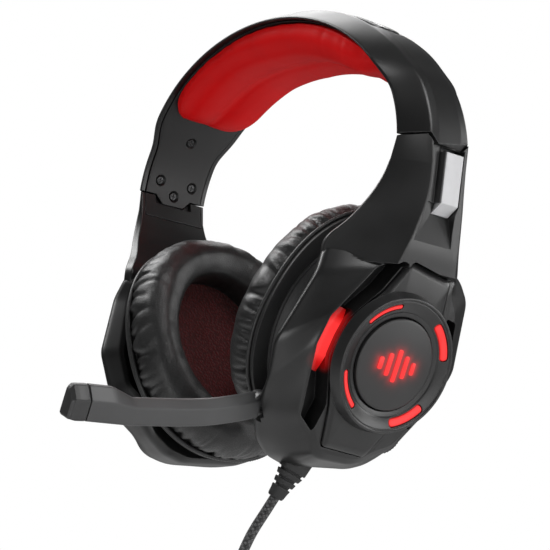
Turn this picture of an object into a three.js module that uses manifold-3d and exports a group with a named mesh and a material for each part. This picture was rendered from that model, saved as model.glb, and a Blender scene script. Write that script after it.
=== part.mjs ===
// A closed-back gaming headset with a folding microphone and a USB lead.
// Millimetres. +X is the wearer's left, -Y is forward and +Z is up.
// The origin is the middle of the cushion's underside, where the head carries the band.
import * as THREE from "three";
import { mergeVertices } from "three/addons/utils/BufferGeometryUtils.js";
import Module from "manifold-3d";

const wasm = await Module();
wasm.setup();

// ---------- driving dimensions ----------
const GAP = 0.3; // clearance between pieces that touch
const WALL = 2.2; // moulded wall
const CUP_DROP = 120; // from the head's crown down to the middle of the ear
const CUP_OUT = 37.9; // cup datum from the middle plane
const CUP_TILT = radians(19.3); // the cups lean in at the bottom
const FACE_RAKE = radians(11.3); // the outer face leans back at the top

const ARCH_HALF = 88.3; // half width of the band's inner arch
const ARCH_RISE = 64.6;
const ARCH_LOW = 66.6 - CUP_DROP; // height of the arch's widest point
const SEAM_Z = 71.5 - CUP_DROP; // where the band ends and the arms begin
const SEAM_PHI = Math.asin((SEAM_Z - ARCH_LOW) / ARCH_RISE);
const TONGUE_DROP = 4; // how far the band's tongues reach past the seam

const PAD_HALF_Y = 43.7;
const PAD_HALF_Z = 48.6;
const PAD_MID_Y = 2.8;
const PAD_BACK = 5.2; // pad's back plane, outward from the cup datum
const PAD_FRONT = -14;
const EAR_HALF_Y = 28;
const EAR_HALF_Z = 32;

const FACE_X = 39.5; // outer plane of the face plate
const FACE_HOLE = 22.2;
const RING_R = 28;
const RING_SEAT = FACE_X + GAP;
const RING_TOP = 45;
const RING_WEB = RING_TOP - 2.6; // underside of the bezel's web over the lights
const LIGHT_IN = 21.6;
const LIGHT_OUT = 24.6;
const DISC_R = 18.2;
const DISC_TOP = 44.4;
const DISC_DOME = 1;

const TILT_X = 22; // the tilt pin, out from the cup datum
const INNER_MID_Y = 2; // middle of the speaker housing

const SLIDE_LEAN = radians(16); // the arms run outwards as they slide down
const RAIL_HALF = 7.2;
const RAIL_THICK = 1.2;

const CABLE_D = 4;

// ---------- small helpers ----------
function radians(degrees) {
  return (degrees * Math.PI) / 180;
}

function vec(x, y, z) {
  return new THREE.Vector3(x, y, z);
}

function lerpTable(table, at) {
  let i = 1;
  while (i < table.length - 1 && at > table[i][0]) i += 1;
  const [a, b] = [table[i - 1], table[i]];
  const t = THREE.MathUtils.clamp((at - a[0]) / (b[0] - a[0]), 0, 1);
  return a.slice(1).map((value, k) => value + (b[k + 1] - value) * t);
}

function signedVolume(geometry) {
  const p = geometry.getAttribute("position");
  const index = geometry.index.array;
  const [a, b, c] = [vec(), vec(), vec()];
  let volume = 0;
  for (let i = 0; i < index.length; i += 3) {
    a.fromBufferAttribute(p, index[i]);
    b.fromBufferAttribute(p, index[i + 1]);
    c.fromBufferAttribute(p, index[i + 2]);
    volume += a.dot(b.cross(c)) / 6;
  }
  return volume;
}

function faceOut(geometry) {
  if (signedVolume(geometry) < 0) geometry.index.array.reverse();
  return geometry;
}

// Skins a row of outlines, each a list of as many points, and closes both ends.
// ends is "flat" for any outline, "paired" for one whose two sides run back along each
// other, or "loop" to join the last outline to the first.
function skin(outlines, ends = "flat") {
  const count = outlines[0].length;
  const points = outlines.flat();
  const index = [];
  const last = ends === "loop" ? outlines.length : outlines.length - 1;
  for (let r = 0; r < last; r += 1) {
    const next = (r + 1) % outlines.length;
    for (let i = 0; i < count; i += 1) {
      const j = (i + 1) % count;
      const [a, b, c, d] = [r * count + i, r * count + j, next * count + j, next * count + i];
      index.push(a, b, c, a, c, d);
    }
  }
  if (ends !== "loop") {
    const capped = ends === "paired" ? pairedFaces : capFaces;
    index.push(...capped(outlines[0], 0, true));
    index.push(...capped(outlines.at(-1), (outlines.length - 1) * count, false));
  }
  const geometry = new THREE.BufferGeometry().setFromPoints(points);
  geometry.setIndex(index);
  return faceOut(geometry);
}

function pairedFaces(outline, offset, flip) {
  const faces = [];
  for (let i = 0; i < outline.length / 2 - 1; i += 1) {
    const [a, b] = [offset + i, offset + i + 1];
    const [c, d] = [offset + outline.length - 2 - i, offset + outline.length - 1 - i];
    faces.push(...(flip ? [a, c, b, a, d, c] : [a, b, c, a, c, d]));
  }
  return faces;
}

function capFaces(outline, offset, flip) {
  const normal = vec(0, 0, 0);
  outline.forEach((p, i) => normal.add(p.clone().cross(outline[(i + 1) % outline.length])));
  normal.normalize();
  const helper = Math.abs(normal.x) < 0.9 ? vec(1, 0, 0) : vec(0, 1, 0);
  const u = helper.cross(normal).normalize();
  const v = normal.clone().cross(u);
  const flat = outline.map((p) => new THREE.Vector2(p.dot(u), p.dot(v)));
  const faces = THREE.ShapeUtils.triangulateShape(flat, []);
  return faces.flatMap(([a, b, c]) =>
    flip ? [offset + a, offset + c, offset + b] : [offset + a, offset + b, offset + c],
  );
}

function toManifold(geometry) {
  const bare = geometry.clone();
  bare.deleteAttribute("normal");
  bare.deleteAttribute("uv");
  const merged = mergeVertices(bare, 1e-4);
  return new wasm.Manifold(
    new wasm.Mesh({
      numProp: 3,
      vertProperties: merged.getAttribute("position").array,
      triVerts: new Uint32Array(merged.index.array),
    }),
  );
}

function fromManifold(solid) {
  const mesh = solid.getMesh();
  const geometry = new THREE.BufferGeometry();
  geometry.setAttribute("position", new THREE.BufferAttribute(mesh.vertProperties, 3));
  geometry.setIndex(new THREE.BufferAttribute(mesh.triVerts, 1));
  return geometry;
}

function cut(body, ...tools) {
  return fromManifold(tools.reduce((solid, t) => solid.subtract(toManifold(t)), toManifold(body)));
}

function join(...parts) {
  return fromManifold(parts.slice(1).reduce((s, p) => s.add(toManifold(p)), toManifold(parts[0])));
}

function named(name, geometry, look) {
  const mesh = new THREE.Mesh(geometry, look);
  mesh.name = name;
  return mesh;
}

// A prism of an outline of [y, z] pairs, between two planes of constant x.
function plate(outline, x0, x1, taper = 1) {
  const at = (x, k) => outline.map(([y, z]) => vec(x, y * k, z * k));
  return skin([at(x0, 1), at(x1, taper)]);
}

function ellipse(halfY, halfZ, count, midY = 0, power = 2) {
  return Array.from({ length: count }, (_, i) => {
    const t = (i / count) * 2 * Math.PI;
    const [c, s] = [Math.cos(t), Math.sin(t)];
    const y = Math.sign(c) * Math.abs(c) ** (2 / power);
    const z = Math.sign(s) * Math.abs(s) ** (2 / power);
    return [midY + halfY * y, halfZ * z];
  });
}

function box(x0, x1, y0, y1, z0, z1) {
  const g = new THREE.BoxGeometry(x1 - x0, y1 - y0, z1 - z0);
  return g.translate((x0 + x1) / 2, (y0 + y1) / 2, (z0 + z1) / 2);
}

// A lathe about the cup's outward axis, from [radius, x] pairs.
function turned(profile, segments = 32) {
  const points = profile.map(([r, x]) => new THREE.Vector2(r, x));
  return faceOut(mergeVertices(new THREE.LatheGeometry(points, segments).rotateZ(-Math.PI / 2)));
}

// ---------- materials ----------
function look(color, roughness, metalness = 0) {
  return new THREE.MeshStandardMaterial({ color, roughness, metalness });
}

const LOOKS = {
  shell: look(0x1a1a1c, 0.42),
  liner: look(0x141416, 0.55),
  grained: look(0x232326, 0.6),
  red: look(0xc4101a, 0.5),
  leather: look(0x121214, 0.4),
  cloth: look(0x3a0a0c, 0.9),
  steel: look(0x9a9ca0, 0.3, 1),
  silver: look(0xc8cacc, 0.35, 1),
  light: look(0xff2a2a, 0.3),
  rubber: look(0x101012, 0.7),
  board: look(0x123a22, 0.6),
  braid: look(0x202022, 0.8),
};

// ---------- headband ----------
// A point of the band: around the arch by phi, out from its inner face by offset.
function archPoint(phi, offset, y, slip = 0) {
  const normal = vec(Math.cos(phi) / ARCH_HALF, 0, Math.sin(phi) / ARCH_RISE).normalize();
  const point = vec(ARCH_HALF * Math.cos(phi), y, ARCH_LOW + ARCH_RISE * Math.sin(phi));
  return point.addScaledVector(normal, offset).add(vec(0, 0, -slip));
}

// Half depth of the band, height of its ridges and half the distance between them.
const BAND_SIZES = [
  [0, 17.9, 11, 9.6],
  [0.39, 17.9, 9, 9.2],
  [0.53, 21.6, 7.6, 10],
  [0.75, 23.6, 7.4, 11],
  [1, 25.4, 8, 12],
];

function bandSize(phi) {
  return lerpTable(BAND_SIZES, Math.sin(phi));
}

// Sweeps a section along the arch between two angles that mirror each other.
function sweepBand(startPhi, steps, section, slip = () => 0) {
  const outlines = [];
  for (let i = 0; i <= steps; i += 1) {
    const phi = startPhi + ((Math.PI - 2 * startPhi) * i) / steps;
    const isEnd = i === 0 || i === steps;
    const sized = section(...bandSize(phi), phi);
    outlines.push(sized.map(([o, y]) => archPoint(phi, o, y, isEnd ? slip(o, y) : 0)));
  }
  return skin(outlines, "paired");
}

const tongueSlip = (halfTop, halfTip) => (o, y) =>
  TONGUE_DROP * THREE.MathUtils.clamp((halfTop - Math.abs(y)) / (halfTop - halfTip), 0, 1);

const PANEL_PHI = radians(48);
const PANEL_RISE = 1.4;

function headbandShell() {
  const section = (w, h, r, phi) => {
    const inPanel = phi > PANEL_PHI && phi < Math.PI - PANEL_PHI;
    const crown = inPanel ? h - PANEL_RISE : h + 0.4;
    return [
      [0, -w],
      [h, -r],
      [crown, -5.6],
      [crown, 5.6],
      [h, r],
      [0, w],
      [0, w - WALL],
      [h - 2.6, r - 1],
      [h - 2.6, 4.6],
      [h - 2.6, -4.6],
      [h - 2.6, -(r - 1)],
      [0, -(w - WALL)],
    ];
  };
  const outerTongue = (o, y) => (o > 9 ? tongueSlip(9.6, 5.6)(o, y) : 0);
  return sweepBand(SEAM_PHI, 34, section, outerTongue);
}

function headbandTopPanel() {
  const section = (w, h, r) => [
    [h - PANEL_RISE + GAP, -5.3],
    [h + 0.7, -5.3],
    [h + 0.7, 5.3],
    [h - PANEL_RISE + GAP, 5.3],
  ];
  return sweepBand(PANEL_PHI + radians(4.5), 18, section);
}

function headbandLiner() {
  const section = (w, h, r) => {
    const half = w - WALL - GAP;
    const slope = (w - WALL - r + 1) / (h - 2.6);
    const back = half - 1.8 * slope;
    return [
      [1.6, -back],
      [1.6, -9.5],
      [1.6, -5.6],
      [1.6, 5.6],
      [1.6, 9.5],
      [1.6, back],
      [-0.4, half],
      [-0.4, 9.5],
      [-0.4, 5.6],
      [-0.4, -5.6],
      [-0.4, -9.5],
      [-0.4, -half],
    ];
  };
  return sweepBand(SEAM_PHI, 34, section, tongueSlip(9.5, 5.6));
}

function headbandCushion() {
  const startPhi = radians(35);
  const steps = 18;
  const outlines = [];
  for (let i = 0; i <= steps; i += 1) {
    const phi = startPhi + ((Math.PI - 2 * startPhi) * i) / steps;
    const fromEnd = Math.min(i, steps - i) / 3;
    const fill = Math.sqrt(THREE.MathUtils.clamp(0.12 + fromEnd, 0, 1));
    const half = (bandSize(phi)[0] - WALL - 1.2) * (0.45 + 0.55 * fill);
    const depth = 12 * fill;
    const ring = [
      [-0.4 - GAP, -half],
      [-0.4 - GAP, half],
      [-0.45 * depth, half * 1.0],
      [-0.9 * depth, half * 0.78],
      [-depth, half * 0.45],
      [-0.9 * depth, 0],
      [-depth, -half * 0.45],
      [-0.9 * depth, -half * 0.78],
      [-0.45 * depth, -half * 1.0],
    ];
    outlines.push(ring.map(([o, y]) => archPoint(phi, o, y)));
  }
  return skin(outlines);
}

function headbandSpring() {
  const section = () => [
    [3.2, -7],
    [4, -7],
    [4, 7],
    [3.2, 7],
  ];
  return sweepBand(radians(26), 26, section);
}

// The screws that close the liner, as [phi, y] at one end of the band.
const LINER_SCREWS = [
  [radians(27.7), 0],
  [radians(10.2), 8.8],
  [radians(10.2), -8.8],
  [radians(5), 0],
];

function linerScrew(phi, y) {
  const screw = new THREE.CylinderGeometry(1.7, 1.7, 1.4, 10);
  const spot = archPoint(phi, -0.5 - GAP - 0.7, y);
  const outward = archPoint(phi, 1, y).sub(archPoint(phi, 0, y)).normalize();
  const turn = new THREE.Quaternion().setFromUnitVectors(vec(0, 1, 0), outward);
  return screw.applyQuaternion(turn).translate(spot.x, spot.y, spot.z);
}

// ---------- arm and outer cup shell, in the left side's frame ----------
// One row a station: height over the ear, inner face x, rim x, rim front y, rim rear y,
// outer face x, ridge front y, ridge rear y.
const ARM_STATIONS = [
  [70.8, 87.7, 88.1, -17.9, 17.9, 98.9, -9.6, 9.8],
  [62, 85.5, 86.8, -18.8, 18, 97.1, -6.4, 11.2],
  [54, 82.6, 85.2, -20.6, 20, 95.6, -5.2, 12.6],
  [46, 78.6, 81.6, -23.4, 23.6, 94, -5.4, 14.2],
  [38, 72.6, 76.2, -27.1, 30, 92.3, -7, 15.6],
  [30, 66.6, 70.2, -32.4, 36.4, 91, -9.4, 16.6],
  [22, 66, 69.4, -33, 37, 88.6, -11.6, 18.6],
];

function armSolid() {
  const outlines = ARM_STATIONS.map(([z, inner, rim, rimF, rimR, outer, ridgeF, ridgeR], i) => {
    const h = z - CUP_DROP;
    const top = i === 0 ? h + 1.1 : h;
    return [
      vec(inner, rimF + 1.6, h),
      vec(rim, rimF, h),
      vec(outer, ridgeF, top),
      vec(outer, ridgeR, top),
      vec(rim, rimR, h),
      vec(inner, rimR - 1.6, h),
    ];
  });
  return skin(outlines);
}

// The outer shell's widest line and the rim that faces the head, each as y, z, x in the
// cup's frame: down the rear side, then up the front side. The cup leans back, so they differ.
const CREASE = [
  [18, 44, 26],
  [34.5, 36, 26],
  [41, 29, 26],
  [45.4, -0.5, 26],
  [38.5, -17.5, 25.5],
  [34.9, -32.4, 14.5],
  [29.4, -41.8, 13.5],
  [22.6, -46.6, 13.5],
  [13.5, -50.1, 13.5],
  [-14.5, -52.8, 14],
  [-24, -50, 14],
  [-31, -44, 14],
  [-36.5, -33, 15],
  [-42.6, -20, 25],
  [-45.6, -2.5, 25.5],
  [-36.5, 26, 26],
  [-33, 35.3, 21],
  [-18, 44, 26],
];
const RIM = [
  [16.5, 40, 20.5],
  [31.5, 33.5, 20.5],
  [37, 26.5, 20],
  [40, -1, 19.5],
  [36, -17, 19.5],
  [33.4, -32, 11],
  [28.4, -41.2, 11],
  [21.8, -45.6, 11],
  [13, -48.4, 11],
  [-14, -51.2, 11],
  [-23, -48.4, 11],
  [-29.6, -42.6, 11],
  [-34.6, -32.4, 11],
  [-37.5, -18.5, 19],
  [-39.5, -2.5, 19.5],
  [-32.5, 24.5, 20],
  [-30.4, 32.6, 17],
  [-16.5, 40, 20.5],
];
const HOLLOW = [
  [14, 38],
  [29.6, 31.6],
  [34.8, 25.5],
  [37.6, -1.5],
  [33.8, -16.2],
  [28.4, -30.6],
  [24.8, -36.4],
  [19, -40.4],
  [12, -43.6],
  [-12.6, -45.8],
  [-20.8, -44],
  [-27, -39],
  [-31.6, -31],
  [-35.4, -17.5],
  [-37.2, -2.5],
  [-30.5, 23.5],
  [-28.2, 30.6],
  [-14, 38],
];

// Outlines of the outer face as [y, z] before it is raked: the lip down the rear side and up
// the front side, which is deeper at the bottom.
const LIP = [
  [16, 40],
  [16.4, 37],
  [24, 30],
  [33.6, 6],
  [33.6, -6],
  [24.2, -30.2],
  [16.6, -35.6],
  [12.6, -40],
  [8, -42.4],
  [-8, -45],
  [-13, -43],
  [-17, -37.6],
  [-25.4, -33],
  [-33.6, -6],
  [-33.6, 6],
  [-24, 30],
  [-16.4, 37],
  [-16, 40],
];
const FACE = [
  [11.5, 38.4],
  [16.5, 23],
  [25, 8],
  [25.6, 0],
  [25, -8],
  [16, -25],
  [11, -37.2],
  [-10.4, -39.8],
  [-15.6, -25],
  [-25, -8],
  [-25.6, 0],
  [-25, 8],
  [-16.5, 23],
  [-11.5, 38],
];
const FRONT_POCKET = [
  [-13, 36.6],
  [-16.4, 36.6],
  [-23.4, 29.8],
  [-33, 5.8],
  [-33, -5.8],
  [-24.8, -32.6],
  [-17, -36.4],
  [-16.6, -25],
  [-25.9, -8],
  [-26.4, 0],
  [-25.9, 8],
  [-17.4, 23],
];
const REAR_POCKET = [
  [19, 25.5],
  [25.2, 25.5],
  [33, 5.8],
  [33, -5.8],
  [28, -20],
  [19.6, -20],
  [25.9, -8],
  [26.4, 0],
  [25.9, 8],
];

// The front pocket goes on under the face plate's edge, where its light sits.
const VENT_POCKET = [
  [-30.4, -18.5],
  [-23, -16],
  [-23, 11],
  [-30.4, 13.5],
];

function rake([y, z]) {
  const [c, s] = [Math.cos(FACE_RAKE), Math.sin(FACE_RAKE)];
  return [y * c + z * s, z * c - y * s];
}

function scaled(outline, k) {
  return outline.map(([y, z]) => [y * k, z * k]);
}

const CUP_MATRIX = new THREE.Matrix4()
  .makeTranslation(CUP_OUT, 0, -CUP_DROP)
  .multiply(new THREE.Matrix4().makeRotationY(CUP_TILT));

const LIP_X = 35.8;
const PLATEAU_X = 37.2;
const SHELL_ROOF = 26; // ceiling of the shell's hollow
const POCKET_FLOOR = 29;

function bowlSolid() {
  const lip = LIP.map(rake);
  const shoulder = CREASE.map(([y, z, x], i) => {
    const [t, rise] = [0.35, 0.6];
    return vec(x + (34 - x) * rise, y + (lip[i][0] - y) * t, z + (lip[i][1] - z) * t);
  });
  return skin([
    RIM.map(([y, z, x]) => vec(x, y, z)),
    CREASE.map(([y, z, x]) => vec(x, y, z)),
    shoulder,
    lip.map(([y, z]) => vec(LIP_X, y, z)),
    scaled(lip, 0.93).map(([y, z]) => vec(PLATEAU_X, y, z)),
  ]);
}

// Lugs on the ceiling that hold the tilt pin at its two ends.
function pinLugs() {
  return [-1, 1].map((side) =>
    box(TILT_X - 2.6, SHELL_ROOF + 0.6, side * 9 - 1.6, side * 9 + 1.6, -3.5, 3.5),
  );
}

function tiltPin(grow) {
  const pin = new THREE.CylinderGeometry(1.6 + grow, 1.6 + grow, 21 + 2 * grow, 12);
  return pin.translate(TILT_X, 0, 0);
}

function inPart(geometry) {
  return geometry.applyMatrix4(CUP_MATRIX);
}

function earcupShell(side) {
  const hollow = plate(HOLLOW, -6, SHELL_ROOF);
  const front = plate(FRONT_POCKET.map(rake), POCKET_FLOOR, 50);
  const rear = plate(REAR_POCKET.map(rake), POCKET_FLOOR, 50);
  const vent = plate(VENT_POCKET.map(rake), POCKET_FLOOR, FACE_X - 4.9);
  const seat = plate(scaled(FACE, 1.02).map(rake), FACE_X - 5.1, 60);
  const bowl = cut(join(inPart(bowlSolid()), armSolid()), inPart(hollow));
  const leftOnly = side === "left" ? [boomSlot(), wheelRim(GAP), strainRelief(GAP)] : [];
  return cut(
    join(bowl, ...pinLugs().map(inPart)),
    ...[front, rear, vent, seat, tiltPin(GAP), ...leftOnly].map(inPart),
    ...tonguePockets(),
    stripPocket(),
    rail(GAP),
    innerCover(GAP),
  );
}

// The hollows at the arm's top that take the band's outer tongue and the liner's tongue.
function tonguePockets() {
  const [low, high] = [SEAM_Z - TONGUE_DROP - 1, SEAM_Z + 4];
  return [box(95.2, 104, -10.2, 10.2, low, high), box(80, 90.2, -10, 10, low, high)];
}

const STRIP = { yTop: 4.2, yLow: 6.6, half: 4.4, top: 66.4, low: 46.5, fold: 43 };

function armFaceX(z) {
  return 98.7 - (71.5 - z) * 0.187;
}

function stripOutline(z, out, deep, grow = 0) {
  const t = (STRIP.top - z) / (STRIP.top - STRIP.low);
  const y = STRIP.yTop + (STRIP.yLow - STRIP.yTop) * t;
  const [y0, y1] = [y - STRIP.half - grow, y + STRIP.half + grow];
  return [
    vec(deep, y0, z - CUP_DROP),
    vec(out, y0, z - CUP_DROP),
    vec(out, y1, z - CUP_DROP),
    vec(deep, y1, z - CUP_DROP),
  ];
}

function stripPocket() {
  const at = (z) => stripOutline(z, armFaceX(z) + 4, armFaceX(z) - 5.6, 1.1);
  return skin([at(STRIP.top + 2), at(STRIP.fold - 0.6)]);
}

function armStrip() {
  return skin([
    stripOutline(STRIP.top, armFaceX(STRIP.top) - 1, armFaceX(STRIP.top) - 5.2),
    stripOutline(STRIP.low, armFaceX(STRIP.low) - 1, armFaceX(STRIP.low) - 5.2),
    stripOutline(STRIP.fold, armFaceX(STRIP.fold) - 4, armFaceX(STRIP.fold) - 5.2),
  ]);
}

// The rail as [height over the ear, x]: straight in the band, then cranked into the arm.
const RAIL_PATH = [
  [93, 87.4],
  [69.4, 94.1],
  [66, 91],
  [57, 89],
];

function rail(grow) {
  const [t, w] = [RAIL_THICK / 2 + grow, RAIL_HALF + grow];
  const outlines = RAIL_PATH.map(([height, x], i) => {
    const h = height - CUP_DROP - (i === RAIL_PATH.length - 1 ? grow : 0);
    return [vec(x - t, -w, h), vec(x + t, -w, h), vec(x + t, w, h), vec(x - t, w, h)];
  });
  return skin(outlines);
}

const COVER_LOW = 60.2;

// With grow it is the cutter for the cover's seat, which is open towards the head.
function innerCover(grow) {
  const open = grow > 0 ? 4 : 0;
  const outline = (z, x) => {
    const half = 15.4 + grow;
    const h = z - CUP_DROP;
    return [
      vec(x - open, -half, h),
      vec(x + 1.4 + grow, -half, h),
      vec(x + 1.4 + grow, half, h),
      vec(x - open, half, h),
    ];
  };
  const body = skin([outline(70.8 + 2 * grow, 87.7), outline(COVER_LOW - grow, 84.9)]);
  const notch = box(80, 92, -10, 10, SEAM_Z - TONGUE_DROP - 0.6, SEAM_Z + 4);
  return grow > 0 ? body : cut(body, notch);
}

// ---------- outer face of the cup, in the cup's frame ----------
function facePlate() {
  const body = plate(FACE.map(rake), FACE_X - 4.6, FACE_X);
  const hole = turned([
    [0, 30],
    [FACE_HOLE, 30],
    [FACE_HOLE, 50],
    [0, 50],
  ]);
  return cut(body, hole);
}

function ringBezel() {
  const ring = turned([
    [DISC_R + 0.4, 37.4],
    [20.8, 37.4],
    [20.8, RING_WEB],
    [LIGHT_OUT + 0.6, RING_WEB],
    [LIGHT_OUT + 0.6, RING_SEAT],
    [RING_R, RING_SEAT],
    [26.4, RING_TOP],
    [20.8, RING_TOP - 1.4],
    [19.6, RING_TOP - 2.3],
    [DISC_R + 0.4, RING_TOP - 2.3],
    [DISC_R + 0.4, 37.4],
  ]);
  return cut(ring, ...LIGHT_ANGLES.map((angle) => arcBlock(angle, 0.3, 30, 60)));
}

const LIGHT_ANGLES = [45, 135, 225, 315].map((degrees) => radians(degrees) - FACE_RAKE);
const LIGHT_HALF = radians(20);

function arcBlock(angle, grow, x0, x1) {
  const steps = 6;
  const [inner, outer] = [LIGHT_IN - grow, LIGHT_OUT + grow];
  const spread = LIGHT_HALF + grow / LIGHT_OUT;
  const outline = [];
  for (let i = 0; i <= steps; i += 1) {
    const a = angle - spread + (2 * spread * i) / steps;
    outline.push([outer * Math.cos(a), outer * Math.sin(a)]);
  }
  for (let i = steps; i >= 0; i -= 1) {
    const a = angle - spread + (2 * spread * i) / steps;
    outline.push([inner * Math.cos(a), inner * Math.sin(a)]);
  }
  return plate(outline, x0, x1);
}

function lightGuide() {
  const [low, high] = [RING_SEAT + 0.1, RING_WEB - GAP];
  const base = turned([
    [LIGHT_IN - 0.4, low],
    [LIGHT_OUT + 0.3, low],
    [LIGHT_OUT + 0.3, high],
    [LIGHT_IN - 0.4, high],
    [LIGHT_IN - 0.4, low],
  ]);
  const arcs = LIGHT_ANGLES.map((angle) => arcBlock(angle, 0, low + 0.2, RING_TOP - 1.8));
  return join(base, ...arcs);
}

function ledBoard() {
  return turned(
    [
      [0, 35],
      [FACE_HOLE - GAP, 35],
      [FACE_HOLE - GAP, 36],
      [0, 36],
    ],
    24,
  );
}

function centreDisc() {
  const arc = [0, 0.25, 0.5, 0.75, 1].map((t) => [DISC_R * t, DISC_TOP - DISC_DOME * t * t]);
  return turned([[0, 36.2], [DISC_R - 0.2, 36.2], ...arc.slice(1).toReversed(), [0, DISC_TOP]]);
}

// A lit mark of five upright bars, as on an audio level meter.
const MARK_BARS = [5, 9, 13, 9, 5];
const MARK_PITCH = 4;

function discMark() {
  const x0 = DISC_TOP + 0.1;
  const bars = MARK_BARS.map((height, i) => {
    const y = (i - 2) * MARK_PITCH;
    return box(x0, x0 + 0.4, y - 1.1, y + 1.1, -height / 2, height / 2);
  });
  const tie = box(x0, x0 + 0.2, -9, 9, -0.5, 0.5);
  return join(tie, ...bars);
}

const VENT_MID = -2.5; // middle of the pocket's light, along the raked face

// A curved lens on the floor of the front pocket, under the face plate's edge.
function ventLight() {
  const outlines = [];
  const steps = 8;
  for (let i = 0; i <= steps; i += 1) {
    const along = -13 + (26 * i) / steps;
    const outer = -31.6 + 0.012 * along * along;
    const inner = -23.3 - 0.008 * along * along;
    const q = along + VENT_MID;
    const ring = [
      [POCKET_FLOOR + GAP, outer],
      [POCKET_FLOOR + 2.6, outer + 1],
      [POCKET_FLOOR + 3.8, outer + 3.6],
      [POCKET_FLOOR + 3.4, inner],
      [POCKET_FLOOR + GAP, inner],
    ];
    outlines.push(ring.map(([x, p]) => vec(x, ...rake([p, q]))));
  }
  return skin(outlines);
}

// ---------- inner cup, which tilts ----------
function innerCup() {
  const outer = [
    [7.8, 36.5, 41.5],
    [12, 35, 40],
    [17, 27, 31],
    [19, 20, 23],
  ];
  const inner = [
    [16.6, 22, 25],
    [13, 30, 34],
    [7.8, 33, 38],
  ];
  const outline = ([x, y, z]) => ellipse(y, z, 28, INNER_MID_Y).map((p) => vec(x, ...p));
  const body = skin([...outer.toReversed(), ...inner.toReversed()].map(outline));
  return cut(join(body, box(18, TILT_X + 2.6, -6.8, 6.8, -3.2, 3.2)), tiltPin(GAP));
}

function driver() {
  return turned([
    [0, 8.6],
    [23, 8.6],
    [25, 10],
    [25, 11.5],
    [12, 15.8],
    [0, 15.8],
  ], 24).translate(0, INNER_MID_Y, 0);
}

function driverCloth() {
  return plate(ellipse(30.5, 34.5, 28, PAD_MID_Y), 5.6, 7);
}

function padRing() {
  const outer = ellipse(PAD_HALF_Y, PAD_HALF_Z, 36, PAD_MID_Y, 2.2);
  const inner = ellipse(31.2, 35.2, 36, PAD_MID_Y);
  const ring = (outline, x) => outline.map((p) => vec(x, ...p));
  return skin([ring(outer, 5.5), ring(outer, 7.5), ring(inner, 7.5), ring(inner, 5.5)], "loop");
}

function earPad() {
  const profile = [
    [PAD_BACK, 1],
    [PAD_BACK - 3.5, 1.1],
    [PAD_BACK - 9, 1.13],
    [PAD_FRONT + 4.5, 1.03],
    [PAD_FRONT + 1.2, 0.82],
    [PAD_FRONT, 0.5],
    [PAD_FRONT + 2.5, 0.12],
    [PAD_FRONT + 7, 0],
    [PAD_BACK, 0.08],
  ];
  const outlines = profile.map(([x, t]) => {
    const halfY = EAR_HALF_Y + (PAD_HALF_Y - 1 - EAR_HALF_Y) * t;
    const halfZ = EAR_HALF_Z + (PAD_HALF_Z - 1 - EAR_HALF_Z) * t;
    return ellipse(halfY, halfZ, 32, PAD_MID_Y, 2 + 0.2 * t).map((p) => vec(x, ...p));
  });
  return skin(outlines, "loop");
}

// ---------- microphone, in the left cup's frame ----------
const BOOM_HUB = vec(14.6, -34.6, -29.2);
const HUB_R = 6.4;
// The boom's centre line as x, y, z.
const BOOM_PATH = [
  [14.9, -36, -30.6],
  [15.6, -44, -33],
  [16.6, -56.5, -36.2],
  [17, -70, -38.4],
  [16.8, -91, -41.2],
];
const HEAD_PATH = [
  [16.8, -91.3, -41.2],
  [15.6, -99, -41.6],
  [13.8, -108, -42.6],
];
const CAP_PATH = [
  [13.7, -108.4, -42.7],
  [12.8, -113, -43.3],
  [12.3, -115.2, -43.7],
];
// Sections as [out, up] from the centre line.
const BOOM_SECTION = [
  [3, -4.7],
  [3, 2.4],
  [-0.8, 5],
  [-3, 5],
  [-3, -4.7],
];
const HEAD_SECTION = [
  [3.4, -5],
  [3.4, 3],
  [-1.4, 7.6],
  [-4.4, 7.6],
  [-4.4, -5],
];

function boomStation([x, y, z], section, k = 1) {
  return section.map(([out, up]) => vec(x + out * k, y, z + up * k));
}

function micBoom() {
  const arm = BOOM_PATH.map((p) => boomStation(p, BOOM_SECTION));
  const head = HEAD_PATH.slice(1).map((p) => boomStation(p, HEAD_SECTION));
  const hub = new THREE.CylinderGeometry(HUB_R, HUB_R, 6, 20).rotateZ(Math.PI / 2);
  hub.translate(...BOOM_HUB.toArray());
  return cut(join(skin([...arm, ...head]), hub), capsule(GAP));
}

function micTipCap() {
  const sizes = [1, 0.94, 0.72];
  return skin(CAP_PATH.map((p, i) => boomStation(p, HEAD_SECTION, sizes[i])));
}

// The electret capsule, sunk in the side of the head that faces the mouth.
function capsule(grow) {
  const [x, y, z] = HEAD_PATH[1];
  const can = new THREE.CylinderGeometry(3 + grow, 3 + grow, 2.6 + grow, 16);
  return can.rotateZ(Math.PI / 2).translate(x - 3.7 + grow / 2, y - 3.4, z + 1.2);
}

// The space that the hub and the root of the boom turn in.
function boomSlot() {
  const hub = new THREE.CylinderGeometry(HUB_R + 0.8, HUB_R + 0.8, 14, 20).rotateZ(Math.PI / 2);
  hub.translate(BOOM_HUB.x - 3.4, BOOM_HUB.y, BOOM_HUB.z);
  return join(hub, box(0, BOOM_HUB.x + 5.4, -60, BOOM_HUB.y, -37, -17));
}

// ---------- volume wheel and cable gland, in the left cup's frame ----------
const WHEEL = vec(22, 23.2, -30.6);
const WHEEL_R = 9.2;
const WHEEL_HALF = 1.8;

function wheelRim(grow) {
  const half = WHEEL_HALF + grow;
  const rim = new THREE.CylinderGeometry(WHEEL_R + grow, WHEEL_R + grow, 2 * half, 28);
  return rim.rotateZ(Math.PI / 2).translate(...WHEEL.toArray());
}

// The encoder behind the wheel's lower half, clear of the speaker housing as it tilts.
function volumePot() {
  const [near, far] = [WHEEL.x - WHEEL_HALF - 0.5, WHEEL.x - WHEEL_HALF - 2.6];
  return box(far, near, WHEEL.y - 5, WHEEL.y + 0.6, WHEEL.z - 5.4, WHEEL.z - 0.6);
}

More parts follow.
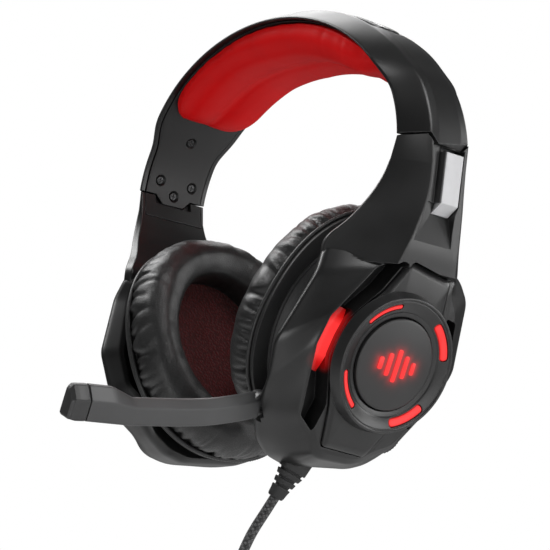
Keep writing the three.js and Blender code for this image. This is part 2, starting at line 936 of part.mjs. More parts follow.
const GLAND = vec(19, -11, -48); // top of the strain relief, inside the shell
const GLAND_AXIS = vec(-0.06, -0.29, -0.955).normalize();
// Stations as [distance along the axis, half width, half depth].
const GLAND_STATIONS = [
  [0, 3.6, 6.2],
  [5.5, 3.6, 6],
  [9, 3.2, 4.6],
  [16.6, 2.5, 2.9],
];

function strainRelief(grow) {
  const across = vec(1, 0, 0);
  const along = GLAND_AXIS.clone().cross(across);
  const outlines = GLAND_STATIONS.map(([far, w, d]) => {
    const middle = GLAND.clone().addScaledVector(GLAND_AXIS, far);
    return ellipse(1, 1, 12, 0, 3).map(([a, b]) =>
      middle.clone().addScaledVector(across, a * (w + grow)).addScaledVector(along, b * (d + grow)),
    );
  });
  return skin(outlines);
}

// ---------- cable, in the part's frame ----------
// Route from the strain relief down to the hank.
const CABLE_ROUTE = [
  [33.4, -16.1, -187.1],
  [32.3, -17, -189.8],
  [31.2, -18, -192.7],
  [30.2, -19.2, -195.7],
  [29.4, -20.6, -198.8],
  [28.8, -22.1, -202.2],
  [28.5, -23.6, -205.8],
  [28.4, -25.1, -209.6],
  [28.5, -26.5, -213.6],
  [28.7, -27.8, -217.8],
  [29, -28.8, -222],
  [29.2, -29.5, -226.2],
  [29.4, -29.9, -230.4],
  [29.5, -30, -234.6],
  [29.5, -30, -238.8],
  [29.5, -30, -242.8],
];
const HANK = { x: 12.7, y: -23.7, top: -236, run: 72, radius: 18.9, thick: 25.2 };
// Route from the hank to the plug.
const TAIL_ROUTE = [
  [25.3, -34.2, -342.9],
  [25.3, -34.2, -346],
  [25.3, -34.2, -350],
  [25.3, -34.2, -354],
  [25.3, -34.2, -358],
];

function cableTube(route, steps) {
  const curve = new THREE.CatmullRomCurve3(route.map((p) => vec(...p)));
  const section = new THREE.Shape(
    ellipse(CABLE_D / 2, CABLE_D / 2, 8).map(([a, b]) => new THREE.Vector2(a, b)),
  );
  return new THREE.ExtrudeGeometry(section, { steps, extrudePath: curve });
}

function cableHank() {
  const { x, y, top, run, radius, thick } = HANK;
  const outline = [];
  const steps = 10;
  for (let i = 0; i <= 2 * steps + 1; i += 1) {
    const a = (Math.PI * (i > steps ? i - 1 : i)) / steps;
    const middle = top - radius - (i > steps ? run : 0);
    outline.push([x + radius * Math.cos(a), middle + radius * Math.sin(a)]);
  }
  const at = (depth) => outline.map(([px, pz]) => vec(px, y + depth, pz));
  return skin([at(-thick / 2), at(thick / 2)]);
}

function hankTie() {
  const middle = HANK.top - HANK.radius - HANK.run / 2;
  const loop = (grow, z) => {
    const [w, t] = [HANK.radius + grow, HANK.thick / 2 + grow];
    const corners = [
      [-w, -t],
      [w, -t],
      [w, t],
      [-w, t],
    ];
    return corners.map(([a, b]) => vec(HANK.x + a, HANK.y + b, z));
  };
  const [low, high] = [middle - 7, middle + 7];
  return skin([loop(GAP, low), loop(1.5, low), loop(1.5, high), loop(GAP, high)], "loop");
}

const PLUG = { x: 25.3, y: -34.2, top: -358.3 };

function rounded(halfX, halfY, z) {
  return ellipse(halfX, halfY, 16, 0, 6).map(([a, b]) => vec(PLUG.x + a, PLUG.y + b, z));
}

function usbPlugBody() {
  return skin([
    rounded(3, 3, PLUG.top),
    rounded(3.4, 3.4, PLUG.top - 7),
    rounded(7.4, 4, PLUG.top - 9.5),
    rounded(7.8, 4.2, PLUG.top - 32),
    rounded(7, 3.6, PLUG.top - 33),
  ]);
}

function usbPlugShell() {
  const low = PLUG.top - 33 - GAP;
  const outer = box(-6, 6, -2.25, 2.25, low - 12, low);
  const mouth = box(-5.6, 5.6, -1.85, 1.85, low - 13, low - 1);
  const contacts = box(-5.4, 5.4, -1.9, -0.2, low - 11, low - 0.5);
  return join(cut(outer, mouth), contacts).translate(PLUG.x, PLUG.y, 0);
}

// ---------- assembly ----------
function buildHeadband(root) {
  root.add(named("headband_shell", headbandShell(), LOOKS.shell));
  root.add(named("headband_top_panel", headbandTopPanel(), LOOKS.grained));
  root.add(named("headband_liner", headbandLiner(), LOOKS.liner));
  root.add(named("headband_cushion", headbandCushion(), LOOKS.red));
  root.add(named("headband_spring", headbandSpring(), LOOKS.steel));
  LINER_SCREWS.forEach(([phi, y], i) => {
    root.add(named(`liner_screw_left_${i + 1}`, linerScrew(phi, y), LOOKS.steel));
    root.add(named(`liner_screw_right_${i + 1}`, linerScrew(Math.PI - phi, y), LOOKS.steel));
  });
}

// Where each pad sits on its housing: the left one leans back, about the cup's X axis.
const PAD_SEATS = {
  left: { lean: radians(-17), shift: vec(0, 2.8, 3.2) },
  right: { lean: 0, shift: vec(0, -2.5, -2) },
};

function padGroup(side) {
  const pads = new THREE.Group();
  const pieces = {
    driver_cloth: [driverCloth(), LOOKS.cloth],
    pad_ring: [padRing(), LOOKS.liner],
    ear_pad: [earPad(), LOOKS.leather],
  };
  for (const [name, [geometry, material]] of Object.entries(pieces))
    pads.add(named(`${side}_${name}`, geometry, material));
  pads.rotation.x = PAD_SEATS[side].lean;
  pads.position.copy(PAD_SEATS[side].shift);
  return pads;
}

function buildSide(side) {
  const group = new THREE.Group();
  const cup = new THREE.Group();
  cup.applyMatrix4(CUP_MATRIX);
  group.add(cup);
  cup.add(padGroup(side));
  const arm = {
    slider_rail: [rail(0), LOOKS.steel],
    earcup_shell: [earcupShell(side), LOOKS.shell],
    arm_inner_cover: [innerCover(0), LOOKS.liner],
    arm_strip: [armStrip(), LOOKS.silver],
  };
  const inCup = {
    face_plate: [facePlate(), LOOKS.shell],
    ring_bezel: [ringBezel(), LOOKS.shell],
    light_guide: [lightGuide(), LOOKS.light],
    led_board: [ledBoard(), LOOKS.board],
    centre_disc: [centreDisc(), LOOKS.shell],
    disc_mark: [discMark(), LOOKS.light],
    vent_light: [ventLight(), LOOKS.light],
    tilt_pin: [tiltPin(0), LOOKS.steel],
    inner_cup: [innerCup(), LOOKS.liner],
    driver: [driver(), LOOKS.steel],
  };
  for (const [name, [geometry, material]] of Object.entries(arm))
    group.add(named(`${side}_${name}`, geometry, material));
  for (const [name, [geometry, material]] of Object.entries(inCup))
    cup.add(named(`${side}_${name}`, geometry, material));
  return group;
}

// The microphone, volume wheel and cable are on the left cup only.
function buildLeftExtras() {
  const group = new THREE.Group();
  const cup = new THREE.Group();
  cup.applyMatrix4(CUP_MATRIX);
  group.add(cup);
  cup.add(named("mic_boom", micBoom(), LOOKS.shell));
  cup.add(named("mic_tip_cap", micTipCap(), LOOKS.liner));
  cup.add(named("mic_capsule", capsule(0), LOOKS.steel));
  cup.add(named("volume_wheel", wheelRim(0), LOOKS.rubber));
  cup.add(named("volume_pot", volumePot(), LOOKS.board));
  cup.add(named("strain_relief", strainRelief(0), LOOKS.rubber));
  group.add(named("cable", cableTube(CABLE_ROUTE, 8), LOOKS.braid));
  group.add(named("cable_hank", cableHank(), LOOKS.braid));
  group.add(named("cable_tail", cableTube(TAIL_ROUTE, 4), LOOKS.braid));
  group.add(named("hank_tie", hankTie(), LOOKS.rubber));
  group.add(named("usb_plug_body", usbPlugBody(), LOOKS.rubber));
  group.add(named("usb_plug_shell", usbPlugShell(), LOOKS.steel));
  return group;
}

const headset = new THREE.Group();
buildHeadband(headset);
headset.add(buildSide("left"), buildLeftExtras());
const right = buildSide("right");
right.scale.x = -1;
headset.add(right);

export default headset;
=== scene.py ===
"""A closed-back gaming headset with a folding microphone and a braided USB lead.

Shapes are worked out in millimetres in the CAD frame: +X is the wearer's left, -Y is
forward, +Z is up and the origin is where the head carries the band. MM turns them into
metres when a mesh is made. The right cup is the left one mirrored, without its extras.
"""
import math

import bmesh
import bpy
import numpy as np
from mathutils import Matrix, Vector


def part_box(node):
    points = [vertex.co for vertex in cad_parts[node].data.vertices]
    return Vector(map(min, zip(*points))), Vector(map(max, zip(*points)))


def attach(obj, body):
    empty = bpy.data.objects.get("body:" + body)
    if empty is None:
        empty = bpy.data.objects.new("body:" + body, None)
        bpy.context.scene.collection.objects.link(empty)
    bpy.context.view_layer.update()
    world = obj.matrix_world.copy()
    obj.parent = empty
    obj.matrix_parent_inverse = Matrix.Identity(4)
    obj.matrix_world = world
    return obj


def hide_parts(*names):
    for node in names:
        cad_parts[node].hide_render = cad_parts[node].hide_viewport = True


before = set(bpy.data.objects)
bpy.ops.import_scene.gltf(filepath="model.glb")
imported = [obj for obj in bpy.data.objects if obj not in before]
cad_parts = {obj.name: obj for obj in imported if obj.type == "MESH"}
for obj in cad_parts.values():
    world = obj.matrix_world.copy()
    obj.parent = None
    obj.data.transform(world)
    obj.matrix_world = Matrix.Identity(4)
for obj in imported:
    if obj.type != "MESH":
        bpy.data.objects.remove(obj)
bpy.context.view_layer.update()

MM = 0.001
GAP = 0.3  # play between a piece and its seat
WALL = 2.2
CUP_DROP = 120  # from the top of the head down to the ears
CUP_OUT = 37.9  # from the middle of the head out to the cup's frame
CUP_TILT = math.radians(19.3)
FACE_RAKE = math.radians(11.3)  # turn of the outer face about the cup's axis
LENS_MID = -2.5  # middle of the front pocket's light, along the raked face

# ---------- camera ----------
CAMERA_AZIMUTH = math.radians(53.12)
CAMERA_ELEVATION = math.radians(-10.455)
CAMERA_ROLL = math.radians(-5.906)
CAMERA_DISTANCE = 706.4
CAMERA_AIM = (1.09, 26.86)  # millimetres right and up, in the view, from midway between the ears
CAMERA_LENS = 110.47


def add_object(name, data):
    obj = bpy.data.objects.new(name, data)
    bpy.context.scene.collection.objects.link(obj)
    return obj


def add_camera():
    """A camera placed by its azimuth, elevation and roll about its aim."""
    ca, sa = math.cos(CAMERA_AZIMUTH), math.sin(CAMERA_AZIMUTH)
    ce, se = math.cos(CAMERA_ELEVATION), math.sin(CAMERA_ELEVATION)
    cr, sr = math.cos(CAMERA_ROLL), math.sin(CAMERA_ROLL)
    right = np.array([ca, sa, 0])
    back = np.array([sa * ce, -ca * ce, se])
    up = np.cross(back, right)
    axes = np.array([[cr, -sr, 0], [sr, cr, 0], [0, 0, 1]]) @ np.array([right, up, back])
    place = axes.T @ np.array([CAMERA_AIM[0], CAMERA_AIM[1], CAMERA_DISTANCE])
    place = (place - [0, 0, CUP_DROP]) * MM
    data = bpy.data.cameras.new("camera")
    data.lens = CAMERA_LENS
    data.sensor_width = 36
    data.clip_start = 0.01
    camera = add_object("camera", data)
    for row in range(3):
        for column in range(3):
            camera.matrix_world[row][column] = axes[column][row]
        camera.matrix_world[row][3] = place[row]
    bpy.context.scene.camera = camera


add_camera()


# ---------- numbers into shapes ----------
def corner_arc(before, here, after, radius, steps):
    """The curve that rounds one corner of a line, or the same corner of a row of lines."""

    def share(side):
        length = np.linalg.norm(side, axis=-1, keepdims=True)
        return np.minimum(0.48, radius / np.maximum(length, 1e-9))

    near = here + (before - here) * share(before - here)
    far = here + (after - here) * share(after - here)
    t = np.linspace(0, 1, steps + 1).reshape((-1,) + (1,) * here.ndim)
    return (1 - t) ** 2 * near + 2 * t * (1 - t) * here + t**2 * far


def soften(line, radius, steps=5, fill=2, closed=True):
    """Rounds the corners of a line of points or of rings, and divides its straight parts."""
    line = np.asarray(line, float)
    count = len(line)
    radii = np.broadcast_to(np.asarray(radius, float), (count,))
    arcs = []
    for i in range(count):
        if not closed and i in (0, count - 1):
            arcs.append(line[i][None])
        else:
            arcs.append(corner_arc(line[i - 1], line[i], line[(i + 1) % count], radii[i], steps))
    t = np.linspace(0, 1, fill + 2)[1:-1].reshape((-1,) + (1,) * (line.ndim - 1))
    parts = []
    for i in range(count if closed else count - 1):
        start, end = arcs[i][-1], arcs[(i + 1) % count][0]
        parts += [arcs[i], start + (end - start) * t]
    if not closed:
        parts.append(arcs[-1])
    return np.concatenate(parts)


def spline(points, per, closed=False):
    """A Catmull-Rom curve through the points, with `per` steps between neighbours."""
    points = np.asarray(points, float)
    count = len(points)
    if closed:
        ring = np.concatenate([points[-1:], points, points[:2]])
        spans = count
    else:
        ends = [2 * points[0] - points[1]], [2 * points[-1] - points[-2]]
        ring = np.concatenate([ends[0], points, ends[1]])
        spans = count - 1
    t = (np.arange(per) / per).reshape((-1,) + (1,) * (points.ndim - 1))
    parts = []
    for i in range(spans):
        a, b, c, d = ring[i : i + 4]
        parts.append(b + 0.5 * t * (c - a + t * (2 * a - 5 * b + 4 * c - d + t * (3 * (b - c) + d - a))))
    if not closed:
        parts.append(points[-1:])
    return np.concatenate(parts)


def ellipse(half_y, half_z, count, mid_y=0.0, power=2.0):
    t = np.arange(count) / count * 2 * math.pi
    c, s = np.cos(t), np.sin(t)
    y = np.sign(c) * np.abs(c) ** (2 / power)
    z = np.sign(s) * np.abs(s) ** (2 / power)
    return np.stack([mid_y + half_y * y, half_z * z], -1)


def at_x(outline, x):
    """An outline of (y, z) pairs as points in the plane of that x."""
    outline = np.asarray(outline, float)
    return np.column_stack([np.full(len(outline), x), outline])


def at_z(outline, z):
    """An outline of (x, y) pairs as points in the plane of that z."""
    outline = np.asarray(outline, float)
    return np.column_stack([outline, np.full(len(outline), z)])


def rectangle(a0, a1, b0, b1):
    return [[a0, b0], [a1, b0], [a1, b1], [a0, b1]]


def scaled(outline, middle, k):
    return middle + (outline - middle) * k


def ease(t):
    return t * t * (3 - 2 * t)


class Skin:
    """Vertices in millimetres with faces and, for each face, a (u, v) pair per corner."""

    def __init__(self, points, faces, uvs):
        self.points = np.asarray(points, float)
        self.faces = faces
        self.uvs = uvs

    def moved(self, function):
        return Skin(function(self.points), self.faces, self.uvs)

    def shifted(self, offset):
        return self.moved(lambda points: points + offset)

    def __add__(self, other):
        shift = len(self.points)
        faces = self.faces + [[i + shift for i in face] for face in other.faces]
        return Skin(np.concatenate([self.points, other.points]), faces, self.uvs + other.uvs)


def loft(rings, ends="cap"):
    """Skins a row of rings. ends is "cap", "open" or "loop"."""
    rings = np.asarray(rings, float)
    rows, columns = rings.shape[:2]
    faces, uvs = [], []
    for r in range(rows if ends == "loop" else rows - 1):
        for c in range(columns):
            r2, c2 = (r + 1) % rows, (c + 1) % columns
            faces.append([r * columns + c, r * columns + c2, r2 * columns + c2, r2 * columns + c])
            u0, u1 = c / columns, (c + 1) / columns
            uvs.append([(u0, r), (u1, r), (u1, r + 1), (u0, r + 1)])
    if ends == "cap":
        for first in (0, (rows - 1) * columns):
            faces.append([first + c for c in range(columns)])
            uvs.append([(0, 0)] * columns)
    return Skin(rings.reshape(-1, 3), faces, uvs)


def prism(outline, x0, x1):
    """A (y, z) outline carried from one plane of x to another."""
    return loft([at_x(outline, x) for x in (x0, x1)])


def softened_prism(outline, x0, x1, radius=1.2):
    return prism(soften(outline, radius, 5, 3), x0, x1)


def circle_ring(radius, x, angles):
    return np.column_stack([np.full(len(angles), x), radius * np.cos(angles), radius * np.sin(angles)])


def turned(profile, segments=96, ends="loop"):
    """A lathe about the cup's outward axis, from (radius, x) pairs."""
    angles = np.arange(segments) / segments * 2 * math.pi
    return loft([circle_ring(radius, x, angles) for radius, x in profile], ends)


def rod(radius, x0, x1, segments):
    return turned([(radius, x0), (radius, x1)], segments, "cap")


def block(x0, x1, y0, y1, z0, z1):
    return prism(rectangle(y0, y1, z0, z1), x0, x1)


def rake(outline):
    """An outline of the outer face turned as the face sits on the cup."""
    outline = np.asarray(outline, float)
    c, s = math.cos(FACE_RAKE), math.sin(FACE_RAKE)
    return np.column_stack([outline[:, 0] * c + outline[:, 1] * s, outline[:, 1] * c - outline[:, 0] * s])


def in_part(points):
    """Points of the left cup's frame, in the part's frame."""
    points = np.asarray(points, float)
    c, s = math.cos(CUP_TILT), math.sin(CUP_TILT)
    x = CUP_OUT + points[..., 0] * c + points[..., 2] * s
    z = -CUP_DROP - points[..., 0] * s + points[..., 2] * c
    return np.stack([x, points[..., 1], z], -1)


# ---------- meshes into pieces ----------
def make_object(name, skin, mirror=False):
    points = skin.points * MM
    if mirror:
        points = points * [-1, 1, 1]
    mesh = bpy.data.meshes.new(name)
    mesh.from_pydata([tuple(p) for p in points], [], skin.faces)
    layer = mesh.uv_layers.new(name="UVMap")
    layer.data.foreach_set("uv", np.array([uv for face in skin.uvs for uv in face], np.float32).ravel())
    obj = add_object(name, mesh)
    turn_faces_out(mesh)
    return obj


def turn_faces_out(mesh):
    work = bmesh.new()
    work.from_mesh(mesh)
    bmesh.ops.recalc_face_normals(work, faces=work.faces)
    work.to_mesh(mesh)
    work.free()


def apply_modifiers(obj):
    bpy.context.view_layer.update()
    shown = obj.evaluated_get(bpy.context.evaluated_depsgraph_get())
    mesh = bpy.data.meshes.new_from_object(shown)
    obj.modifiers.clear()
    obj.data = mesh


def boolean(obj, operation, skins, mirror=False):
    """Joins skins to a closed object, or cuts them from it."""
    tools = [make_object("tool", skin, mirror) for skin in skins]
    for tool in tools:
        modifier = obj.modifiers.new("boolean", "BOOLEAN")
        modifier.operation = operation
        modifier.solver = "MANIFOLD"
        modifier.object = tool
    apply_modifiers(obj)
    for tool in tools:
        bpy.data.objects.remove(tool)


def finish_piece(obj, body, slot, stands_for=(), sharp=32):
    """Shades a piece, gives it its slot's material and puts it on its body."""
    mesh = obj.data
    mesh.shade_smooth()
    mesh.set_sharp_from_angle(angle=math.radians(sharp))
    mesh.materials.clear()
    mesh.materials.append(MATERIALS[slot])
    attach(obj, body)
    if stands_for:
        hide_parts(*stands_for)
    return obj


def add_piece(name, skin, body, slot, stands_for=(), mirror=False, sharp=32, cuts=()):
    obj = make_object(name, skin, mirror)
    if cuts:
        boolean(obj, "DIFFERENCE", cuts, mirror)
    return finish_piece(obj, body, slot, stands_for, sharp)


def add_side_piece(side, name, skin, slot, stands_for, body="slider", sharp=32, cuts=()):
    """A piece of one side, with its shape and its cuts given in the cup's frame."""
    return add_piece(
        f"{side}_{name}", skin.moved(in_part), f"{body}_{side}", slot, [f"{side}_{stands_for}"],
        side == "right", sharp, [cut.moved(in_part) for cut in cuts],
    )


# ---------- materials ----------
class Nodes:
    """A short way to wire up one material."""

    def __init__(self, name):
        self.material = bpy.data.materials.new(name)
        self.material.use_nodes = True
        self.tree = self.material.node_tree
        self.shader = self.tree.nodes["Principled BSDF"]
        self.place = self.add("ShaderNodeTexCoord").outputs["Object"]

    def add(self, kind, **settings):
        node = self.tree.nodes.new(kind)
        for key, value in settings.items():
            setattr(node, key, value)
        return node

    def link(self, source, target):
        self.tree.links.new(source, target)

    def set(self, target, value):
        if isinstance(value, bpy.types.NodeSocket):
            self.link(value, target)
        else:
            target.default_value = value

    def noise(self, scale, detail=2.0, vector=None, roughness=0.5):
        node = self.add("ShaderNodeTexNoise")
        self.link(vector or self.place, node.inputs["Vector"])
        node.inputs["Scale"].default_value = scale
        node.inputs["Detail"].default_value = detail
        node.inputs["Roughness"].default_value = roughness
        return node.outputs["Fac"]

    def cells(self, scale, feature="DISTANCE_TO_EDGE", vector=None):
        node = self.add("ShaderNodeTexVoronoi", feature=feature)
        self.link(vector or self.place, node.inputs["Vector"])
        node.inputs["Scale"].default_value = scale
        return node.outputs["Distance"]

    def ramp(self, value, low, high, out_low=0.0, out_high=1.0):
        node = self.add("ShaderNodeMapRange")
        self.link(value, node.inputs["Value"])
        sockets = ("From Min", "From Max", "To Min", "To Max")
        for socket, number in zip(sockets, (low, high, out_low, out_high)):
            node.inputs[socket].default_value = number
        return node.outputs["Result"]

    def math(self, operation, a, b=0.0):
        node = self.add("ShaderNodeMath", operation=operation)
        self.set(node.inputs[0], a)
        self.set(node.inputs[1], b)
        return node.outputs[0]

    def vector(self, operation, a, b, output="Vector"):
        node = self.add("ShaderNodeVectorMath", operation=operation)
        self.set(node.inputs[0], a)
        self.set(node.inputs[1], b)
        return node.outputs[output]

    def mix(self, factor, a, b):
        node = self.add("ShaderNodeMix", data_type="RGBA")
        self.set(node.inputs["Factor"], factor)
        self.set(node.inputs["A"], a)
        self.set(node.inputs["B"], b)
        return node.outputs["Result"]

    def bump(self, height, distance, strength=1.0, normal=None):
        node = self.add("ShaderNodeBump")
        self.link(height, node.inputs["Height"])
        node.inputs["Distance"].default_value = distance
        node.inputs["Strength"].default_value = strength
        if normal is not None:
            self.link(normal, node.inputs["Normal"])
        return node.outputs["Normal"]

    def edges(self, radius):
        """The normal with its edges rounded, and how much of an edge a point is on."""
        bevel = self.add("ShaderNodeBevel", samples=6)
        bevel.inputs["Radius"].default_value = radius
        flat = self.add("ShaderNodeNewGeometry").outputs["Normal"]
        dot = self.add("ShaderNodeVectorMath", operation="DOT_PRODUCT")
        self.link(bevel.outputs[0], dot.inputs[0])
        self.link(flat, dot.inputs[1])
        return bevel.outputs[0], self.ramp(dot.outputs["Value"], 0.995, 0.85)

    def finish(self, color, roughness, normal=None, **more):
        self.set(self.shader.inputs["Base Color"], color)
        self.set(self.shader.inputs["Roughness"], roughness)
        if normal is not None:
            self.link(normal, self.shader.inputs["Normal"])
        for key, value in more.items():
            self.set(self.shader.inputs[key.replace("_", " ")], value)
        return self.material


def grey(level):
    return (level, level, level * 1.02, 1)


def near_pocket_light(n):
    """How close a point of either cup is to the light in its front pocket, as 1 down to 0: where the light's
    red glow is painted on the shell.
    """
    mirrored = n.add("ShaderNodeVectorMath", operation="ABSOLUTE")
    n.link(n.place, mirrored.inputs[0])
    x = n.add("ShaderNodeSeparateXYZ")
    n.link(mirrored.outputs[0], x.inputs[0])
    yz = n.add("ShaderNodeSeparateXYZ")
    n.link(n.place, yz.inputs[0])
    point = n.add("ShaderNodeCombineXYZ")
    for axis, source in (("X", x), ("Y", yz), ("Z", yz)):
        n.link(source.outputs[axis], point.inputs[axis])
    low, high = (in_part([33, *rake([[-27, LENS_MID + end]])[0]]) * MM for end in (-8, 8))
    length = float(np.linalg.norm(high - low))
    heading = tuple((high - low) / length)
    away = n.vector("SUBTRACT", point.outputs[0], tuple(low))
    along = n.vector("DOT_PRODUCT", away, heading, "Value")
    held = n.ramp(along, 0, length, 0, length)
    foot = n.add("ShaderNodeVectorMath", operation="SCALE")
    foot.inputs[0].default_value = heading
    n.link(held, foot.inputs["Scale"])
    distance = n.vector("DISTANCE", away, foot.outputs[0], "Value")
    return n.math("POWER", n.ramp(distance, 2.5 * MM, 7 * MM, 1, 0), 1.6)


def moulded(name, level, roughness, grain=0.012, edge_wear_and_highlight=2.0, edge=0.5, grain_scale=3200, painted_glow=0.0):
    """Moulded plastic: spark-eroded grain, soft patches of gloss, paler edges that are partly rubbed wear and
    partly a painted edge highlight, and on the shell a painted red glow near the pocket light.
    """
    n = Nodes(name)
    rounded, on_edge = n.edges(edge * MM)
    patches = n.noise(38, 3)
    base = n.mix(n.ramp(patches, 0.3, 0.7), grey(level * 0.88), grey(level * 1.12))
    # Paler edges: partly rubbed wear, partly a painted highlight along the edges.
    scuffs_and_edge_highlight = n.math("MULTIPLY", on_edge, n.ramp(n.noise(420, 4), 0.42, 0.62, 0.25, 1))
    color = n.mix(scuffs_and_edge_highlight, base, grey(level * edge_wear_and_highlight))
    grain_height = n.noise(grain_scale, 2)
    gloss = n.ramp(patches, 0.3, 0.7, roughness - 0.03, roughness + 0.04)
    rough = n.math("ADD", gloss, n.math("MULTIPLY", grain_height, 0.04))
    more = {"Specular_IOR_Level": 0.5}
    normal = n.bump(grain_height, grain * MM, 1.0, rounded)
    if painted_glow:
        # Painted glow: the shell emits red near the pocket light, on top of the light the lens itself casts.
        more["Emission_Color"] = (1, 0.008, 0.008, 1)
        more["Emission_Strength"] = n.math("MULTIPLY", near_pocket_light(n), painted_glow)
    return n.finish(color, rough, normal, **more)


def leatherette():
    """Coated cloth: small pebbles with fine creases between them."""
    n = Nodes("leatherette")
    warp = n.add("ShaderNodeVectorMath", operation="MULTIPLY_ADD")
    swirl = n.add("ShaderNodeTexNoise")
    n.link(n.place, swirl.inputs["Vector"])
    swirl.inputs["Scale"].default_value = 260
    n.link(swirl.outputs["Color"], warp.inputs[0])
    warp.inputs[1].default_value = (0.0012, 0.0012, 0.0012)
    n.link(n.place, warp.inputs[2])
    pebbles = n.ramp(n.cells(1050, vector=warp.outputs[0]), 0.0, 0.22)
    fine = n.noise(4200, 3)
    patches = n.noise(60, 3)
    base = n.mix(n.ramp(patches, 0.3, 0.7), grey(0.006), grey(0.010))
    # Painted shade: the creases between the pebbles are darkened.
    color = n.mix(n.math("SUBTRACT", 1.0, pebbles), base, grey(0.004))
    rough = n.math("ADD", n.ramp(patches, 0.3, 0.7, 0.33, 0.4), n.ramp(pebbles, 0, 1, 0.12, 0.0))
    height = n.math("ADD", pebbles, n.math("MULTIPLY", fine, 0.25))
    return n.finish(color, rough, n.bump(height, 0.05 * MM, 0.8), Specular_IOR_Level=0.55)


def red_satin():
    """The band cushion's cover: close satin weave with a soft sheen, and a faint painted red glow."""
    n = Nodes("red_satin")
    uv = n.add("ShaderNodeTexCoord").outputs["UV"]
    weave = []
    for across, along in ((430, 2.6), (60, 16)):
        weave.append(n.noise(1.0, 2, n.vector("MULTIPLY", uv, (across, along, 1))))
    threads = n.math("ADD", n.math("MULTIPLY", weave[0], 0.6), n.math("MULTIPLY", weave[1], 0.4))
    patches = n.noise(45, 3)
    base = n.mix(n.ramp(patches, 0.3, 0.7), (0.46, 0.002, 0.003, 1), (0.58, 0.003, 0.004, 1))
    color = n.mix(n.ramp(threads, 0.42, 0.6), base, (0.66, 0.005, 0.006, 1))
    grain = n.noise(5200, 2)
    height = n.math("ADD", threads, n.math("MULTIPLY", grain, 0.5))
    return n.finish(
        color, n.ramp(threads, 0.3, 0.7, 0.56, 0.46), n.bump(height, 0.035 * MM, 0.7),
        Sheen_Weight=0.03, Sheen_Roughness=0.4, Sheen_Tint=(1, 0.05, 0.05, 1), Specular_IOR_Level=0.12,
        # Painted light: a faint red emission lifts the cover as if it were lit more brightly.
        Emission_Color=(1, 0.002, 0.004, 1), Emission_Strength=0.02,
    )


def red_cloth():
    """Thin knitted cloth over the drivers."""
    n = Nodes("red_cloth")
    knit = n.ramp(n.cells(900, "F1"), 0.0, 0.7, 1.0, 0.0)
    fuzz = n.noise(3000, 3)
    color = n.mix(knit, (0.03, 0.001, 0.001, 1), (0.09, 0.002, 0.003, 1))
    color = n.mix(n.ramp(fuzz, 0.5, 0.8), color, (0.12, 0.004, 0.005, 1))
    return n.finish(color, 0.92, n.bump(knit, 0.25 * MM, 0.9), Sheen_Weight=0.3, Specular_IOR_Level=0.2)


def glowing():
    """A lit lens: its "lit" attribute runs from a dim deep red to a hot core."""
    n = Nodes("red_light")
    lit = n.add("ShaderNodeAttribute", attribute_name="lit").outputs["Fac"]
    mottled = n.noise(140, 2)
    level = n.math("MULTIPLY", lit, n.ramp(mottled, 0.3, 0.7, 0.92, 1.0))
    warm = n.mix(n.ramp(level, 0.0, 0.6), (0.09, 0.001, 0.001, 1), (0.5, 0.007, 0.007, 1))
    color = n.mix(n.ramp(level, 0.6, 1.0), warm, (1.0, 0.045, 0.045, 1))
    frost = n.bump(n.noise(2600, 2), 0.02 * MM, 0.5)
    return n.finish(
        (0.25, 0.004, 0.004, 1), n.ramp(mottled, 0.3, 0.7, 0.36, 0.44), frost,
        Emission_Color=color, Emission_Strength=1.0, Specular_IOR_Level=0.3,
    )


def disc_skin():
    """The centre disc: satin paint, with the mark's glow spreading into it."""
    n = Nodes("disc_grey")
    rounded, on_edge = n.edges(0.4 * MM)
    glow = n.add("ShaderNodeAttribute", attribute_name="glow").outputs["Fac"]
    patches = n.noise(50, 3)
    base = n.mix(n.ramp(patches, 0.3, 0.7), grey(0.013), grey(0.017))
    color = n.mix(n.math("MULTIPLY", on_edge, 0.6), base, grey(0.07))
    grain = n.noise(3600, 2)
    normal = n.bump(grain, 0.012 * MM, 1.0, rounded)
    return n.finish(
        color, n.ramp(grain, 0.3, 0.7, 0.36, 0.44), normal,
        Emission_Color=(1.0, 0.006, 0.006, 1), Emission_Strength=n.math("MULTIPLY", glow, 0.55),
    )


def brushed(name, level, roughness, metallic=1.0):
    """Brushed metal: fine lines along Z, with a few deeper scratches."""
    n = Nodes(name)
    rounded, on_edge = n.edges(0.35 * MM)
    brush = n.noise(9000, 3, n.vector("MULTIPLY", n.place, (1, 1, 0.03)))
    patches = n.noise(90, 3)
    base = n.mix(n.ramp(patches, 0.3, 0.7), grey(level * 0.93), grey(min(1, level * 1.05)))
    color = n.mix(n.math("MULTIPLY", on_edge, 0.5), base, grey(min(1, level * 1.3)))
    rough = n.ramp(brush, 0.3, 0.7, roughness - 0.06, roughness + 0.06)
    return n.finish(color, rough, n.bump(brush, 0.006 * MM, 0.7, rounded), Metallic=metallic)


def braid():
    """Woven sleeve: two sets of strands that cross on the slant, grey on black."""
    n = Nodes("braided_cable")
    uv = n.add("ShaderNodeSeparateXYZ")
    n.link(n.add("ShaderNodeTexCoord").outputs["UV"], uv.inputs[0])
    around = n.math("MULTIPLY", uv.outputs[0], 6.0)
    along = n.math("MULTIPLY", uv.outputs[1], 0.62)
    slant = [n.math("ADD", around, along), n.math("SUBTRACT", around, along)]
    strands = [n.math("ABSOLUTE", n.math("SINE", n.math("MULTIPLY", s, math.pi))) for s in slant]
    height = n.math("MULTIPLY", strands[0], strands[1])
    turns = [n.math("FLOOR", s) for s in slant]
    odd = [n.math("MODULO", turn, 2.0) for turn in turns]
    over = n.math("ABSOLUTE", n.math("SUBTRACT", *odd))
    light = n.mix(n.math("MULTIPLY", over, n.ramp(height, 0.15, 0.5)), grey(0.010), grey(0.13))
    color = n.mix(n.ramp(n.noise(2600, 2), 0.35, 0.65), light, grey(0.03))
    fuzz = n.noise(6000, 2)
    bumps = n.math("ADD", height, n.math("MULTIPLY", fuzz, 0.3))
    return n.finish(color, 0.72, n.bump(bumps, 0.22 * MM, 0.9), Sheen_Weight=0.15)


